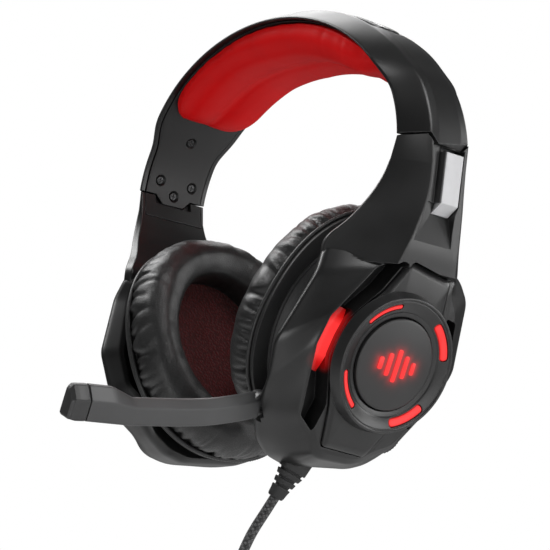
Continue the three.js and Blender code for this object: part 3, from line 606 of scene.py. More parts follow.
def rubber():
    """Soft black rubber with a little dust and paler edges."""
    n = Nodes("black_rubber")
    rounded, on_edge = n.edges(0.3 * MM)
    dust = n.noise(240, 4)
    color = n.mix(n.ramp(dust, 0.4, 0.75), grey(0.009), grey(0.02))
    color = n.mix(n.math("MULTIPLY", on_edge, 0.5), color, grey(0.04))
    rough = n.ramp(dust, 0.3, 0.7, 0.58, 0.7)
    return n.finish(color, rough, n.bump(n.noise(3400, 2), 0.02 * MM, 0.8, rounded))


def circuit_board():
    """Solder mask with copper traces under it."""
    n = Nodes("circuit_board")
    traces = n.ramp(n.cells(240), 0.0, 0.05, 1.0, 0.0)
    color = n.mix(n.math("MULTIPLY", traces, 0.6), (0.006, 0.03, 0.012, 1), (0.05, 0.14, 0.05, 1))
    return n.finish(color, n.ramp(n.noise(300, 2), 0.3, 0.7, 0.35, 0.5), n.bump(traces, 0.03 * MM, 0.8))


MATERIALS = {
    # satin_black and ring_black get strong painted edge highlights, the others mild edge wear; satin_black
    # also carries the painted red glow near the pocket light.
    "satin_black": moulded("satin_black", 0.0065, 0.33, edge_wear_and_highlight=8, edge=0.35, painted_glow=0.3),
    "gloss_black": moulded("gloss_black", 0.008, 0.2, grain=0.004),
    "matte_black": moulded("matte_black", 0.013, 0.5, grain=0.03, edge_wear_and_highlight=1.5, grain_scale=2200),
    "ring_black": moulded("ring_black", 0.012, 0.32, edge_wear_and_highlight=7, edge=0.35),
    "disc_grey": disc_skin(),
    "boom_grey": moulded("boom_grey", 0.05, 0.4, grain=0.02, edge_wear_and_highlight=1.6),
    "boom_cap": moulded("boom_cap", 0.024, 0.4, grain=0.015),
    "red_fabric": red_satin(),
    "red_cloth": red_cloth(),
    "leatherette": leatherette(),
    "red_light": glowing(),
    "circuit_board": circuit_board(),
    "driver_can": brushed("driver_can", 0.32, 0.4),
    "spring_steel": brushed("spring_steel", 0.42, 0.3),
    "plug_steel": brushed("plug_steel", 0.62, 0.26),
    "dark_screw": brushed("dark_screw", 0.05, 0.38),
    "satin_aluminium": brushed("satin_aluminium", 0.5, 0.5, metallic=0.1),
    "black_rubber": rubber(),
    "braided_cable": braid(),
}

# ---------- cable, first of the pieces ----------
CABLE_D = 4
# The route from the strain relief down to the hank, and from the hank to the plug.
CABLE_ROUTE = [
    [33.4, -16.1, -187.1], [32.3, -17, -189.8], [31.2, -18, -192.7], [30.2, -19.2, -195.7],
    [29.4, -20.6, -198.8], [28.8, -22.1, -202.2], [28.5, -23.6, -205.8], [28.4, -25.1, -209.6],
    [28.5, -26.5, -213.6], [28.7, -27.8, -217.8], [29, -28.8, -222], [29.2, -29.5, -226.2],
    [29.4, -29.9, -230.4], [29.5, -30, -234.6], [29.5, -30, -238.8], [29.5, -30, -242.8],
]
PLUG_PLACE = (25.3, -34.2)
TAIL_ROUTE = [[*PLUG_PLACE, z] for z in (-342.9, -346, -350, -354, -358)]
HANK_MID_X = 12.7
HANK_ARC_TOP = -254.9
HANK_ARC_LOW = -326.9
HANK_OUTER = 16.8
HANK_FRONT_Y = -30
HANK_PITCH = 4.2
HANK_LAYERS = 5
PLUG_TOP = -358.3


def hank_arc(z, r0, r1, y0, y1, up=1):
    """Half a turn over the top or under the bottom, as its radius and its layer change."""
    points = []
    for i in range(13):
        t = i / 12
        r = r0 + (r1 - r0) * t
        x, rise = r * math.cos(math.pi * t), r * math.sin(math.pi * t)
        points.append([HANK_MID_X + x, y0 + (y1 - y0) * ease(t), z + up * rise])
    return points


def hank_run(x, y, z0, z1, steps=5):
    return [[x, y, z0 + (z1 - z0) * i / steps] for i in range(1, steps)]


def hank_path():
    """Folds the cable down its outer layers and back up through its inner ones."""
    layers = [HANK_FRONT_Y + HANK_PITCH * k for k in range(HANK_LAYERS)]
    outer, inner = HANK_OUTER, HANK_OUTER - HANK_PITCH
    path = []
    for k, y in enumerate(layers):
        last = k == HANK_LAYERS - 1
        path += hank_run(HANK_MID_X + outer, y, HANK_ARC_TOP, HANK_ARC_LOW)
        path += hank_arc(HANK_ARC_LOW, outer, inner if last else outer, y, y, -1)
        if not last:
            path += hank_run(HANK_MID_X - outer, y, HANK_ARC_LOW, HANK_ARC_TOP)
            path += hank_arc(HANK_ARC_TOP, outer, outer, layers[k + 1], y)[::-1]
    for k in range(HANK_LAYERS - 1, 0, -1):
        y = layers[k - 1]
        path += hank_run(HANK_MID_X - inner, layers[k], HANK_ARC_LOW, HANK_ARC_TOP)
        path += hank_arc(HANK_ARC_TOP, inner, inner, y, layers[k])[::-1]
        if k > 1:
            path += hank_run(HANK_MID_X + inner, y, HANK_ARC_TOP, HANK_ARC_LOW)
            path += hank_arc(HANK_ARC_LOW, inner, inner, y, y, -1)
    _, tail_y, tail_z = TAIL_ROUTE[0]
    for t in np.arange(1, 12) / 12:
        y = layers[0] + (tail_y - layers[0]) * ease(t)
        path.append([HANK_MID_X + inner, y, HANK_ARC_TOP + (tail_z - HANK_ARC_TOP) * t])
    return path


def tube(path, radius, sides):
    """A round tube along a path, turned as little as possible from ring to ring."""
    path = np.asarray(path, float)
    heading = np.gradient(path, axis=0)
    heading /= np.linalg.norm(heading, axis=1, keepdims=True)
    side = np.cross(heading[0], [0, 1, 0])
    angles = np.arange(sides) / sides * 2 * math.pi
    rings = []
    for point, ahead in zip(path, heading):
        side = side - ahead * side.dot(ahead)
        side /= np.linalg.norm(side)
        other = np.cross(ahead, side)
        rings.append(point + radius * (np.outer(np.cos(angles), side) + np.outer(np.sin(angles), other)))
    return loft(rings)


def add_cable():
    path = spline(CABLE_ROUTE + hank_path() + TAIL_ROUTE, 3)
    length = float(np.linalg.norm(np.diff(path, axis=0), axis=1).sum())
    cable = add_piece(
        "cable_sleeve", tube(path, CABLE_D / 2, 14), "slider_left", "braided_cable",
        ["cable", "cable_hank", "cable_tail"],
    )
    return cable, path * MM, length * MM


cable, cable_path, cable_length = add_cable()


def box_ring(middle, half_x, half_y, z, radius, steps, fill):
    """A level rectangle with round corners."""
    outline = soften(rectangle(half_x, -half_x, half_y, -half_y), radius, steps, fill)
    return at_z(outline + middle[:2], z)


def add_hank_tie():
    """A hook-and-loop strap round the hank."""
    low, high = (np.array(corner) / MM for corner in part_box("hank_tie"))
    middle, half = (low + high) / 2, (high - low) / 2
    rings = []
    for inset, level in [(1.15, -1), (0.35, -1), (0, -0.94), (0, 0.94), (0.35, 1), (1.15, 1)]:
        z = middle[2] + level * half[2]
        rings.append(box_ring(middle, half[0] - inset, half[1] - inset, z, 3 - inset, 6, 6))
    return add_piece("hank_strap", loft(rings, "loop"), "slider_left", "black_rubber", ["hank_tie"])


hank_strap = add_hank_tie()


def add_plug():
    """Moulded plug with a ribbed neck, shallow grip grooves and a rounded end."""
    rows = []  # distance below the top, half sizes in x and y, corner radius
    for drop in 0.2 + 1.6 * np.arange(5):
        rows += [(drop, 3.3, 3.3, 3), (drop + 0.8, 3.3, 3.3, 3)]
        rows += [(drop + 0.9, 2.8, 2.8, 2.6), (drop + 1.5, 2.8, 2.8, 2.6)]
    rows += [(8.2, 3.6, 3.4, 3), (9.6, 6.8, 3.9, 2.2), (10.8, 7.6, 4.1, 2), (13, 7.8, 4.2, 2)]
    for drop in 16 + 2.6 * np.arange(4):
        rows += [(drop, 7.8, 4.2, 2), (drop + 0.5, 7.4, 3.8, 1.8)]
        rows += [(drop + 1.1, 7.4, 3.8, 1.8), (drop + 1.6, 7.8, 4.2, 2)]
    rows += [(31.8, 7.8, 4.2, 2), (32.8, 7.3, 3.7, 1.8), (33, 6.9, 3.4, 1.6)]
    rings = [box_ring(PLUG_PLACE, x, y, PLUG_TOP - drop, radius, 5, 2) for drop, x, y, radius in rows]
    return add_piece("plug_moulding", loft(rings), "slider_left", "black_rubber", ["usb_plug_body"])


plug_moulding = add_plug()


# ---------- headband ----------
ARCH_HALF = 88.3
ARCH_RISE = 64.6
ARCH_LOW = 66.6 - CUP_DROP
SEAM_Z = 71.5 - CUP_DROP
SEAM_PHI = math.asin((SEAM_Z - ARCH_LOW) / ARCH_RISE)
TONGUE_DROP = 4
PANEL_PHI = math.radians(52.5)
PANEL_RISE = 1.4
# sin(phi), half depth, height of the ridges, half the distance between them
BAND_SIZES = np.array([
    [0, 17.9, 11, 9.6], [0.39, 18.1, 8.6, 9.2], [0.53, 22, 6.8, 10], [0.75, 23.8, 6.4, 11],
    [1, 25.4, 7.6, 12],
])


def band_size(phi):
    s = math.sin(phi)
    return [float(np.interp(s, BAND_SIZES[:, 0], BAND_SIZES[:, k])) for k in (1, 2, 3)]


def smooth_band_size(phi):
    """The band's sizes with the corners of their table rounded."""
    spread = [band_size(phi + math.radians(d)) for d in (-2.4, -1.2, 0, 1.2, 2.4)]
    return np.mean(spread, axis=0)


def arch_ring(phi, section, slip=None):
    """A section of (out, y) pairs at an angle of the arch."""
    section = np.asarray(section, float)
    normal = np.array([math.cos(phi) / ARCH_HALF, 0, math.sin(phi) / ARCH_RISE])
    normal /= np.linalg.norm(normal)
    middle = np.array([ARCH_HALF * math.cos(phi), 0, ARCH_LOW + ARCH_RISE * math.sin(phi)])
    ring = middle + np.outer(section[:, 0], normal)
    ring[:, 1] = section[:, 1]
    if slip is not None:
        ring[:, 2] -= slip
    return ring


def tongue(section, half_top, half_tip, lowest):
    """How far each point of an end section reaches down into the arm."""
    reach = TONGUE_DROP * np.clip((half_top - np.abs(section[:, 1])) / (half_top - half_tip), 0, 1)
    return np.where(section[:, 0] > lowest, reach, 0)


def sweep_band(start, steps, section, slip=None):
    """The rings of a piece that runs along the arch from one angle to its mirror."""
    rings = []
    for i in range(steps + 1):
        phi = start + (math.pi - 2 * start) * i / steps
        outline = section(*smooth_band_size(phi), phi)
        at_end = slip is not None and i in (0, steps)
        rings.append(arch_ring(phi, outline, slip(outline) if at_end else None))
    return rings


def shell_section(w, h, r, phi):
    """The shell's section: half depth w, ridges of height h at r either side."""
    in_panel = PANEL_PHI - 0.012 < phi < math.pi - PANEL_PHI + 0.012
    crown = h - PANEL_RISE if in_panel else h + 0.4
    outline = [
        [0, -w], [0.9, -w - 0.1], [h, -r], [crown, -5.7], [crown, 5.7], [h, r], [0.9, w + 0.1], [0, w],
        [0, w - WALL], [h - 2.6, r - 1], [h - 2.6, 4.6], [h - 2.6, -4.6], [h - 2.6, -(r - 1)],
        [0, -(w - WALL)],
    ]
    radius = [0.5, 0.7, 0.8, 0.3, 0.3, 0.8, 0.7, 0.5, 0.3, 0.4, 0.4, 0.4, 0.4, 0.3]
    return soften(outline, radius, 6, 5)


def add_headband_shell():
    rings = sweep_band(SEAM_PHI, 150, shell_section, lambda s: tongue(s, 9.6, 5.6, 8.2))
    add_piece("band_shell", loft(rings), "headband", "satin_black", ["headband_shell"], sharp=24)


def add_top_panel():
    """A gloss inlay along the crown, with a bevel all round."""

    def section(w, h, r, phi):
        low = h - PANEL_RISE + GAP
        outline = [
            [low, -5.3], [h + 0.4, -5.3], [h + 0.7, -4.9], [h + 0.75, 0],
            [h + 0.7, 4.9], [h + 0.4, 5.3], [low, 5.3],
        ]
        return soften(outline, 0.25, 2, 2)

    rings = sweep_band(PANEL_PHI, 90, section)
    add_piece("crown_inlay", loft(rings), "headband", "gloss_black", ["headband_top_panel"])


def liner_section(w, h, r, phi):
    half = w - WALL - GAP
    back = half - 1.8 * (w - WALL - r + 1) / (h - 2.6)
    outline = [[1.6, y] for y in (-back, -9.5, -5.6, 5.6, 9.5, back)]
    outline += [[-0.4, y] for y in (half, 9.5, 5.6, -5.6, -9.5, -half)]
    return soften(outline, [0.3, 0.2, 0.2, 0.2, 0.2, 0.3, 0.5, 0.2, 0.2, 0.2, 0.2, 0.5], 3, 3)


LINER_SCREWS = [(27.7, 0), (10.2, 8.8), (10.2, -8.8), (5, 0)]  # angle up the arch, y
SCREW_SINK = [(2.7, -2), (2.7, -0.3), (2.05, 0.5), (2.05, 1.2)]
SCREW_HEAD = [(0.05, 1.0), (1.5, 1.0), (1.85, 0.6), (1.85, 0.2), (1.6, -0.05), (0.05, -0.12)]


def screw_frame(phi, y):
    """Where a liner screw sits, and its direction out of the band."""
    ring = arch_ring(phi, [[0, y], [1, y]])
    return ring[0], ring[1] - ring[0]


def on_axis(skin, place, axis):
    """Turns a skin made about +X onto an axis at a place."""
    turn = np.array(Vector((1, 0, 0)).rotation_difference(Vector(axis)).to_matrix())
    return skin.moved(lambda p: p @ turn.T + place)


def add_liner_and_screws():
    """The liner, countersunk for its screws, and each screw with its cross recess."""
    rings = sweep_band(SEAM_PHI, 150, liner_section, lambda s: tongue(s, 9.5, 5.6, -9))
    sinks = []
    for number, (angle, y) in enumerate(LINER_SCREWS, 1):
        for side, phi in (("left", math.radians(angle)), ("right", math.pi - math.radians(angle))):
            seat = screw_frame(phi, y)
            sinks.append(on_axis(turned(SCREW_SINK, 32, "cap"), *seat))
            slots = [block(-1, 0.25, -1.15, 1.15, -0.22, 0.22), block(-1, 0.25, -0.22, 0.22, -1.15, 1.15)]
            add_piece(
                f"screw_{side}_{number}", on_axis(turned(SCREW_HEAD, 32, "cap"), *seat), "headband",
                "dark_screw", [f"liner_screw_{side}_{number}"], cuts=[on_axis(slot, *seat) for slot in slots],
            )
    add_piece("band_liner", loft(rings), "headband", "matte_black", ["headband_liner"], sharp=24, cuts=sinks)


def puckers(along, across, length, count, reach, depth, width, seed):
    """Pleats that run in from a seam at across = 0 and fade out by reach."""
    draw = np.random.default_rng(seed)
    total = np.zeros(np.broadcast(along, across).shape)
    places = (np.arange(count) + draw.uniform(-0.32, 0.32, count)) * length / count
    for place in places:
        slant = draw.uniform(-0.28, 0.28)
        own_depth = depth * draw.uniform(0.35, 1.25)
        own_width = width * draw.uniform(0.7, 1.5)
        own_reach = reach * draw.uniform(0.45, 1.25)
        offset = along - place - slant * across
        offset = (offset + length / 2) % length - length / 2
        fade = np.exp(-((across / own_reach) ** 2)) * (1 - np.exp(-((across / 0.8 + 0.4) ** 2)))
        total -= own_depth * np.exp(-((offset / own_width) ** 2)) * fade
    return total


def soft_noise(points, wave, seed):
    """Smooth rolling noise from a few plane waves, about -1 to 1."""
    draw = np.random.default_rng(seed)
    total = np.zeros(points.shape[:-1])
    for _ in range(9):
        direction = draw.normal(size=3)
        direction /= np.linalg.norm(direction)
        length = wave * draw.uniform(0.7, 1.5)
        total += np.sin(points @ direction * 2 * math.pi / length + draw.uniform(0, 2 * math.pi))
    return total / 4


def grid_normals(points):
    """Unit normals of a closed ring-of-rings grid, facing out of its section."""
    down = np.roll(points, -1, 0) - np.roll(points, 1, 0)
    across = np.roll(points, -1, 1) - np.roll(points, 1, 1)
    normal = np.cross(down, across)
    normal /= np.maximum(np.linalg.norm(normal, axis=-1, keepdims=True), 1e-9)
    outward = points - points.mean(1, keepdims=True)
    if (normal * outward).sum() < 0:
        normal = -normal
    return normal


CUSHION_PHI = math.radians(37)
CUSHION_STEPS = 170
CUSHION_DEPTHS = [12.4, 13.4, 13.2, 10.6, 11]  # from the left end to the right end
CUSHION_LENGTH = 165
# Half of the cushion's section, from the valley round to its back: share of the depth plus
# a fixed depth, and share of the half width.
CUSHION_SECTION = [
    [0.86, 0, 0], [0.95, 0, 0.2], [1, 0, 0.46], [0.93, 0, 0.74], [0.62, 0, 0.97],
    [0.22, 0.6, 1.02], [0, 0.75, 0.97], [0, 0.7, 0.5],
]


def cushion_section(depth, half):
    """A closed line from the front of the cushion's back, by its rear roll to its front one."""
    rear = [[-a * depth - b, half * c] for a, b, c in CUSHION_SECTION]
    front = [[x, -y] for x, y in rear[1:]]
    return front[-1:] + rear[::-1] + front[:-1]


def add_band_cushion():
    """Two stuffed rolls with a soft valley between them, puckered along their seams."""
    rings = []
    for i in range(CUSHION_STEPS + 1):
        t = i / CUSHION_STEPS
        phi = CUSHION_PHI + (math.pi - 2 * CUSHION_PHI) * t
        end = min(t, 1 - t) * CUSHION_STEPS / 22
        fill = math.sqrt(min(1, max(0.004, 1 - (1 - min(1, end)) ** 2.2)))
        half = (smooth_band_size(phi)[0] - WALL - 1) * (0.52 + 0.48 * fill)
        depth = fill * np.interp(t, [0, 0.25, 0.5, 0.7, 1], CUSHION_DEPTHS)
        rings.append(arch_ring(phi, spline(cushion_section(depth, half), 6, closed=True)))
    points = np.array(rings)
    along = np.linspace(0, CUSHION_LENGTH, CUSHION_STEPS + 1)[:, None]
    place = np.arange(points.shape[1])[None, :] / points.shape[1] * 15
    push = 0
    # Each seam: its place among the section's points, spacing, count, reach, depth, width, seed.
    for seam, spacing, *pleats in (
        [13.6, 5.2, 22, 7, 0.42, 1.9, 3], [2.4, 5.2, 22, 7, 0.42, 1.9, 4], [8, 5.5, 15, 5, 0.22, 2.6, 5],
    ):
        push = push + puckers(along, np.abs(place - seam) * spacing, CUSHION_LENGTH, *pleats)
    push = push + 0.22 * soft_noise(points, 26, 6)
    points = points + grid_normals(points) * push[..., None]
    stands_for = ["headband_cushion"]
    cushion = add_piece("band_cushion", loft(points), "headband", "red_fabric", stands_for, sharp=80)


# ---------- ear cup shells ----------
# height over the ear, inner face x, rim x, rim front y, rim rear y, outer face x, ridge y's
ARM_STATIONS = [
    [70.8, 87.7, 88.1, -17.9, 17.9, 98.9, -9.6, 9.8],
    [62, 85.5, 86.8, -18.8, 18, 97.1, -6.4, 11.2],
    [54, 82.6, 85.2, -20.6, 20, 95.6, -5.2, 12.6],
    [46, 78.6, 81.6, -23.4, 23.6, 94, -5.4, 14.2],
    [38, 72.6, 76.2, -27.1, 30, 92.3, -7, 15.6],
    [30, 66.6, 70.2, -32.4, 36.4, 91, -9.4, 16.6],
    [22, 66, 69.4, -33, 37, 88.6, -11.6, 18.6],
]
# The shell's widest line and the rim that faces the head, as y, z, x in the cup's frame:
# down the rear side, then up the front side.
CREASE = [
    [18, 44, 26], [34.5, 36, 26], [41, 29, 26], [45.4, -0.5, 26], [38.5, -17.5, 25.5],
    [34.9, -32.4, 14.5],
    [29.4, -41.8, 13.5], [22.6, -46.6, 13.5], [13.5, -50.1, 13.5], [-14.5, -52.8, 14], [-24, -50, 14],
    [-31, -44, 14],
    [-36.5, -33, 15], [-42.6, -20, 25], [-45.6, -2.5, 25.5], [-36.5, 26, 26], [-33, 35.3, 21],
    [-18, 44, 26],
]
RIM = [
    [16.5, 40, 20.5], [31.5, 33.5, 20.5], [37, 26.5, 20], [40, -1, 19.5], [36, -17, 19.5],
    [33.4, -32, 11],
    [28.4, -41.2, 11], [21.8, -45.6, 11], [13, -48.4, 11], [-14, -51.2, 11], [-23, -48.4, 11],
    [-29.6, -42.6, 11],
    [-34.6, -32.4, 11], [-37.5, -18.5, 19], [-39.5, -2.5, 19.5], [-32.5, 24.5, 20], [-30.4, 32.6, 17],
    [-16.5, 40, 20.5],
]
HOLLOW = [
    [14, 38], [29.6, 31.6], [34.8, 25.5], [37.6, -1.5], [33.8, -16.2], [28.4, -30.6],
    [24.8, -36.4], [19, -40.4], [12, -43.6], [-12.6, -45.8], [-20.8, -44], [-27, -39],
    [-31.6, -31], [-35.4, -17.5], [-37.2, -2.5], [-30.5, 23.5], [-28.2, 30.6], [-14, 38],
]
# Outlines of the outer face as y, z before it is raked: the lip down the rear side and up
# the front side, which is deeper at the bottom.
LIP = [
    [16, 40], [16.4, 37], [24, 30], [33.6, 6], [33.6, -6], [24.2, -30.2], [16.6, -35.6], [12.6, -40],
    [8, -42.4],
    [-8, -45], [-13, -43], [-17, -37.6], [-25.4, -33], [-33.6, -6], [-33.6, 6], [-24, 30],
    [-16.4, 37], [-16, 40],
]
FACE = [
    [11.5, 38.4], [16.5, 23], [25, 8], [25.6, 0], [25, -8], [16, -25], [11, -37.2],
    [-10.4, -39.8], [-15.6, -25], [-25, -8], [-25.6, 0], [-25, 8], [-16.5, 23], [-11.5, 38],
]
FRONT_POCKET = [
    [-13, 36.6], [-16.4, 36.6], [-23.4, 29.8], [-33, 5.8], [-33, -5.8], [-24.8, -32.6],
    [-17, -36.4], [-16.6, -25], [-25.9, -8], [-26.4, 0], [-25.9, 8], [-17.4, 23],
]
# Each point with how far it steps in toward the pocket's floor.
REAR_POCKET = [
    [19, 25.5, 0], [25.2, 25.5, 1.5], [33, 5.8, 5], [33, -5.8, 5], [28, -20, 6],
    [19.6, -20, 0], [25.9, -8, 0], [26.4, 0, 0], [25.9, 8, 0],
]
VENT_POCKET = [[-30.4, -18.5], [-23, -16], [-23, 11], [-30.4, 13.5]]
FACE_X = 39.5
LIP_X = 35.8
PLATEAU_X = 37.2
SHELL_ROOF = 26
POCKET_FLOOR = 29
OUTLINE_RADIUS = 3


def cup_ring(rows):
    return np.array([[x, y, z] for y, z, x in rows], float)


def bowl():
    """The cup's outer shell as a solid, before it is hollowed."""
    lip = rake(LIP)
    crease = cup_ring(CREASE)
    over = at_x(lip, 34)
    shoulder = crease + (over - crease) * [0.6, 0.35, 0.35]
    keys = [cup_ring(RIM), crease, shoulder, at_x(lip, LIP_X), at_x(lip * 0.93, PLATEAU_X)]
    keys = [soften(key, OUTLINE_RADIUS, 8, 5) for key in keys]
    middle = keys[0] * [0, 0.05, 0.05] + [18, 0, 0]
    rings = soften(np.array([middle] + keys), [0, 0.7, 2.6, 9, 1, 0], 6, 4, closed=False)
    return loft(rings)


def arm():
    rings = []
    for i, (z, inner, rim, rim_front, rim_rear, outer, ridge_front, ridge_rear) in enumerate(ARM_STATIONS):
        h = z - CUP_DROP
        top = h + 1.1 if i == 0 else h
        outline = [
            [inner, rim_front + 1.6, h], [rim, rim_front, h], [outer, ridge_front, top],
            [outer, ridge_rear, top], [rim, rim_rear, h], [inner, rim_rear - 1.6, h],
        ]
        rings.append(soften(outline, [0.6, 0.9, 0.5, 1, 0.9, 0.6], 6, 8))
    rings = np.array(rings)
    first_wall = rings[0] + (rings[1] - rings[0]) * 0.02
    return loft(np.concatenate([rings[:1], first_wall[None], spline(rings[1:], 8)]))


def tongue_pockets():
    """The V-ended seats in the arm's top for the band's outer tongue and the liner's."""
    low = SEAM_Z - TONGUE_DROP - 0.6
    cutters = []
    for x0, x1, top, tip in ((95.9, 104, 10, 5.8), (80, 90.2, 9.9, 5.9)):
        front = [[-top - 4, SEAM_Z + 5], [-top, SEAM_Z - 0.35], [-tip, low]]
        cutters.append(prism(front + [[-y, z] for y, z in front[::-1]], x0, x1))
    return cutters


# The silver strip in the arm: heights over the ear, and where its middle runs.
STRIP_TOP = 67
STRIP_LOW = 48
STRIP_FOLD = 44
STRIP_HALF = 4.4
STRIP_Y = (4.2, 6.6)
FOOT_IN = 3.2  # how far the strip's foot turns into the arm
FOOT_FORWARD = 1.6  # how far its end leans forward


def arm_face_x(z):
    return 98.7 - (71.5 - z) * 0.187


def strip_outline(z, out, deep, grow=0.0):
    y = STRIP_Y[0] + (STRIP_Y[1] - STRIP_Y[0]) * (STRIP_TOP - z) / (STRIP_TOP - STRIP_LOW)
    half = STRIP_HALF + grow
    return at_z(rectangle(deep, out, y - half, y + half), z - CUP_DROP)


def strip_pocket_ring(z, face_z):
    face = arm_face_x(face_z)
    return strip_outline(z, face + 4, face - 5.6, GAP)


def strip_cuts():
    """The strip's tight pocket, the channel in front of it and the hollow below its foot."""
    pocket = [strip_pocket_ring(z, z) for z in (STRIP_TOP + 2, STRIP_LOW)]
    pocket.append(strip_pocket_ring(STRIP_FOLD - GAP, STRIP_FOLD) - [0, FOOT_FORWARD, 0])
    channel = [channel_outline(z, 2.5) for z in (STRIP_TOP + 2, 62, 54, STRIP_FOLD)]
    depths = [(STRIP_LOW, FOOT_IN), (STRIP_FOLD, FOOT_IN), (32, 0.02)]
    return [loft(pocket), loft(channel), loft([hollow_outline(z, deep) for z, deep in depths])]


def ridge_y(z):
    """Where the arm's front ridge runs."""
    table = np.array(ARM_STATIONS)[::-1]
    return float(np.interp(z, table[:, 0], table[:, 6]))


def channel_outline(z, deep):
    face = arm_face_x(z)
    y0, y1 = ridge_y(z), strip_outline(z, 0, 0)[0][1]
    outline = [[face - deep, y0 + 1.6], [face + 3, y0 + 0.5], [face + 3, y1 + 0.4],
    [face - deep, y1 - 1.7]]
    return at_z(outline, z - CUP_DROP)


def hollow_outline(z, deep):
    face = arm_face_x(z)
    y0, y1 = ridge_y(z) + 1.2, strip_outline(z, 0, 0)[2][1] - 1.2
    outline = [[face - deep, y0 + 0.4], [face + 3, y0 - 0.3], [face + 3, y1 + 0.6], [face - deep, y1]]
    return at_z(outline, z - CUP_DROP)


def add_arm_strip(side):
    """A satin strip, flush with the arm, with a turned-in foot."""
    rings = []
    for z, drop, forward in [(STRIP_TOP, -0.1, 0), (STRIP_LOW, -0.1, 0),
    (STRIP_FOLD, FOOT_IN, FOOT_FORWARD)]:
        outline = strip_outline(z, arm_face_x(z) - drop, arm_face_x(z) - 5.2)
        rings.append(soften(outline, [0.2, 0.3, 0.3, 0.2], 4, 3) - [0, forward, 0])
    skin = loft(soften(np.array(rings), [0, 0.25, 0], 4, 6, closed=False))
    stands_for = [f"{side}_arm_strip"]
    add_piece(f"{side}_arm_trim", skin, f"slider_{side}", "satin_aluminium", stands_for, side == "right")


RAIL_PATH = [[93, 87.4], [69.4, 94.1], [66, 91], [57, 89]]


def rail_slot():
    half_t, half_w = 0.6 + GAP, 7.2 + GAP
    rings = []
    for z, x in RAIL_PATH:
        h = z - CUP_DROP - (GAP if z == RAIL_PATH[-1][0] else 0)
        rings.append(at_z(rectangle(x - half_t, x + half_t, -half_w, half_w), h))
    return loft(rings)


def cover_seat():
    half = 15.4 + GAP
    levels = ((71.4, 87.7), (59.9, 84.9))
    return loft([at_z(rectangle(x - 4, x + 1.7, -half, half), z - CUP_DROP) for z, x in levels])


def rear_pocket():
    """The rear side's pocket, whose far wall slopes in toward the floor."""
    rows = np.array(REAR_POCKET)
    low = rows[:, :2] - np.column_stack([rows[:, 2], 0 * rows[:, 2]])
    rings = [at_x(rake(low), POCKET_FLOOR), at_x(rake(rows[:, :2]), LIP_X + 0.4), at_x(rake(rows[:, :2]), 50)]
    return loft([soften(ring, 1.2, 5, 3) for ring in rings])


HUB_Y, HUB_Z = -34.6, -29.2
PIN_X = 22
PIN_RADIUS = 1.9


def boom_slot():
    hub = rod(7.2, 4.2, 18.2, 48).shifted([0, HUB_Y, HUB_Z])
    return [hub, block(0, 20, -60, HUB_Y, -37, -17)]


def pin_lugs():
    return [block(19.4, 26.6, side * 9 - 1.6, side * 9 + 1.6, -3.5, 3.5) for side in (-1, 1)]


def pin_bore():
    bore = rod(PIN_RADIUS, -10.8, 10.8, 24)
    return bore.moved(lambda points: points[:, [1, 0, 2]]).shifted([PIN_X, 0, 0])


def add_cup_shell(side):
    """Bowl and arm in one moulding, cut for everything that sits in it."""
    mirror = side == "right"
    shell = make_object(f"{side}_cup_shell", bowl().moved(in_part), mirror)
    boolean(shell, "UNION", [arm()], mirror)
    hollow = softened_prism(HOLLOW, -6, SHELL_ROOF, OUTLINE_RADIUS - 0.6)
    boolean(shell, "DIFFERENCE", [hollow.moved(in_part)], mirror)
    boolean(shell, "UNION", [lug.moved(in_part) for lug in pin_lugs()], mirror)
    cuts = [
        softened_prism(rake(FRONT_POCKET), POCKET_FLOOR, 50),
        rear_pocket(),
        softened_prism(rake(VENT_POCKET), POCKET_FLOOR, FACE_X - 4.9, 0.8),
        softened_prism(rake(FACE) * 1.012, FACE_X - 5.1, 60, 1.6),
        pin_bore(),
    ]
    if side == "left":
        cuts += boom_slot() + [wheel_space(), gland(GAP)]
    cuts = [cut.moved(in_part) for cut in cuts]
    cuts += tongue_pockets() + strip_cuts() + [rail_slot(), cover_seat()]
    boolean(shell, "DIFFERENCE", cuts, mirror)
    finish_piece(shell, f"slider_{side}", "satin_black", [f"{side}_earcup_shell"], sharp=28)


# ---------- outer face ----------
DISC_R = 18.2
DISC_TOP = 44.4
DISC_DOME = 1
LIGHT_HALF = math.radians(20)
# Each arc of the ring: its middle in degrees, inner and outer radius.
LIGHTS = [[45, 21.5, 24.7], [135, 22.3, 24.1], [225, 22.1, 24.3], [315, 21.5, 24.7]]


def add_face_plate(side):
    """The plate round the ring: a raised field with a bevelled edge at its seam."""
    outline = soften(rake(FACE), 1.6, 6, 6)
    angles = np.arctan2(outline[:, 1], outline[:, 0])
    opening = circle_ring(22.2, FACE_X, angles)
    reach = np.linalg.norm(outline, axis=1, keepdims=True)
    rings = [at_x(outline, FACE_X - 4.6), at_x(outline, FACE_X - 1.5)]
    for inset, drop in ((0.35, 1.1), (2.4, 0.12), (3, 0)):
        rings.append(at_x(outline * np.maximum(23.4 / reach, 1 - inset / reach), FACE_X - drop))
    rings += [opening, opening - [4.6, 0, 0]]
    add_side_piece(side, "outer_plate", loft(rings, "loop"), "satin_black", "face_plate")


def arc_outline(angle, inner, outer, half, steps=16):
    """A slot along an arc, with round ends."""
    middle, width = (inner + outer) / 2, (outer - inner) / 2
    spread = half - width / middle * 0.8
    sides = []
    for radius, sweep in ((outer, (-spread, spread)), (inner, (spread, -spread))):
        for t in np.linspace(*sweep, steps):
            sides.append([radius * math.cos(angle + t), radius * math.sin(angle + t)])
        end = angle + sweep[1]
        out = np.array([math.cos(end), math.sin(end)])
        tangent = np.array([-out[1], out[0]]) * math.copysign(1, sweep[1])
        turn = 1 if radius == outer else -1
        for a in np.linspace(0, math.pi, 8)[1:-1]:
            sides.append(out * (middle + turn * width * math.cos(a)) + tangent * width * 0.8 * math.sin(a))
    return sides


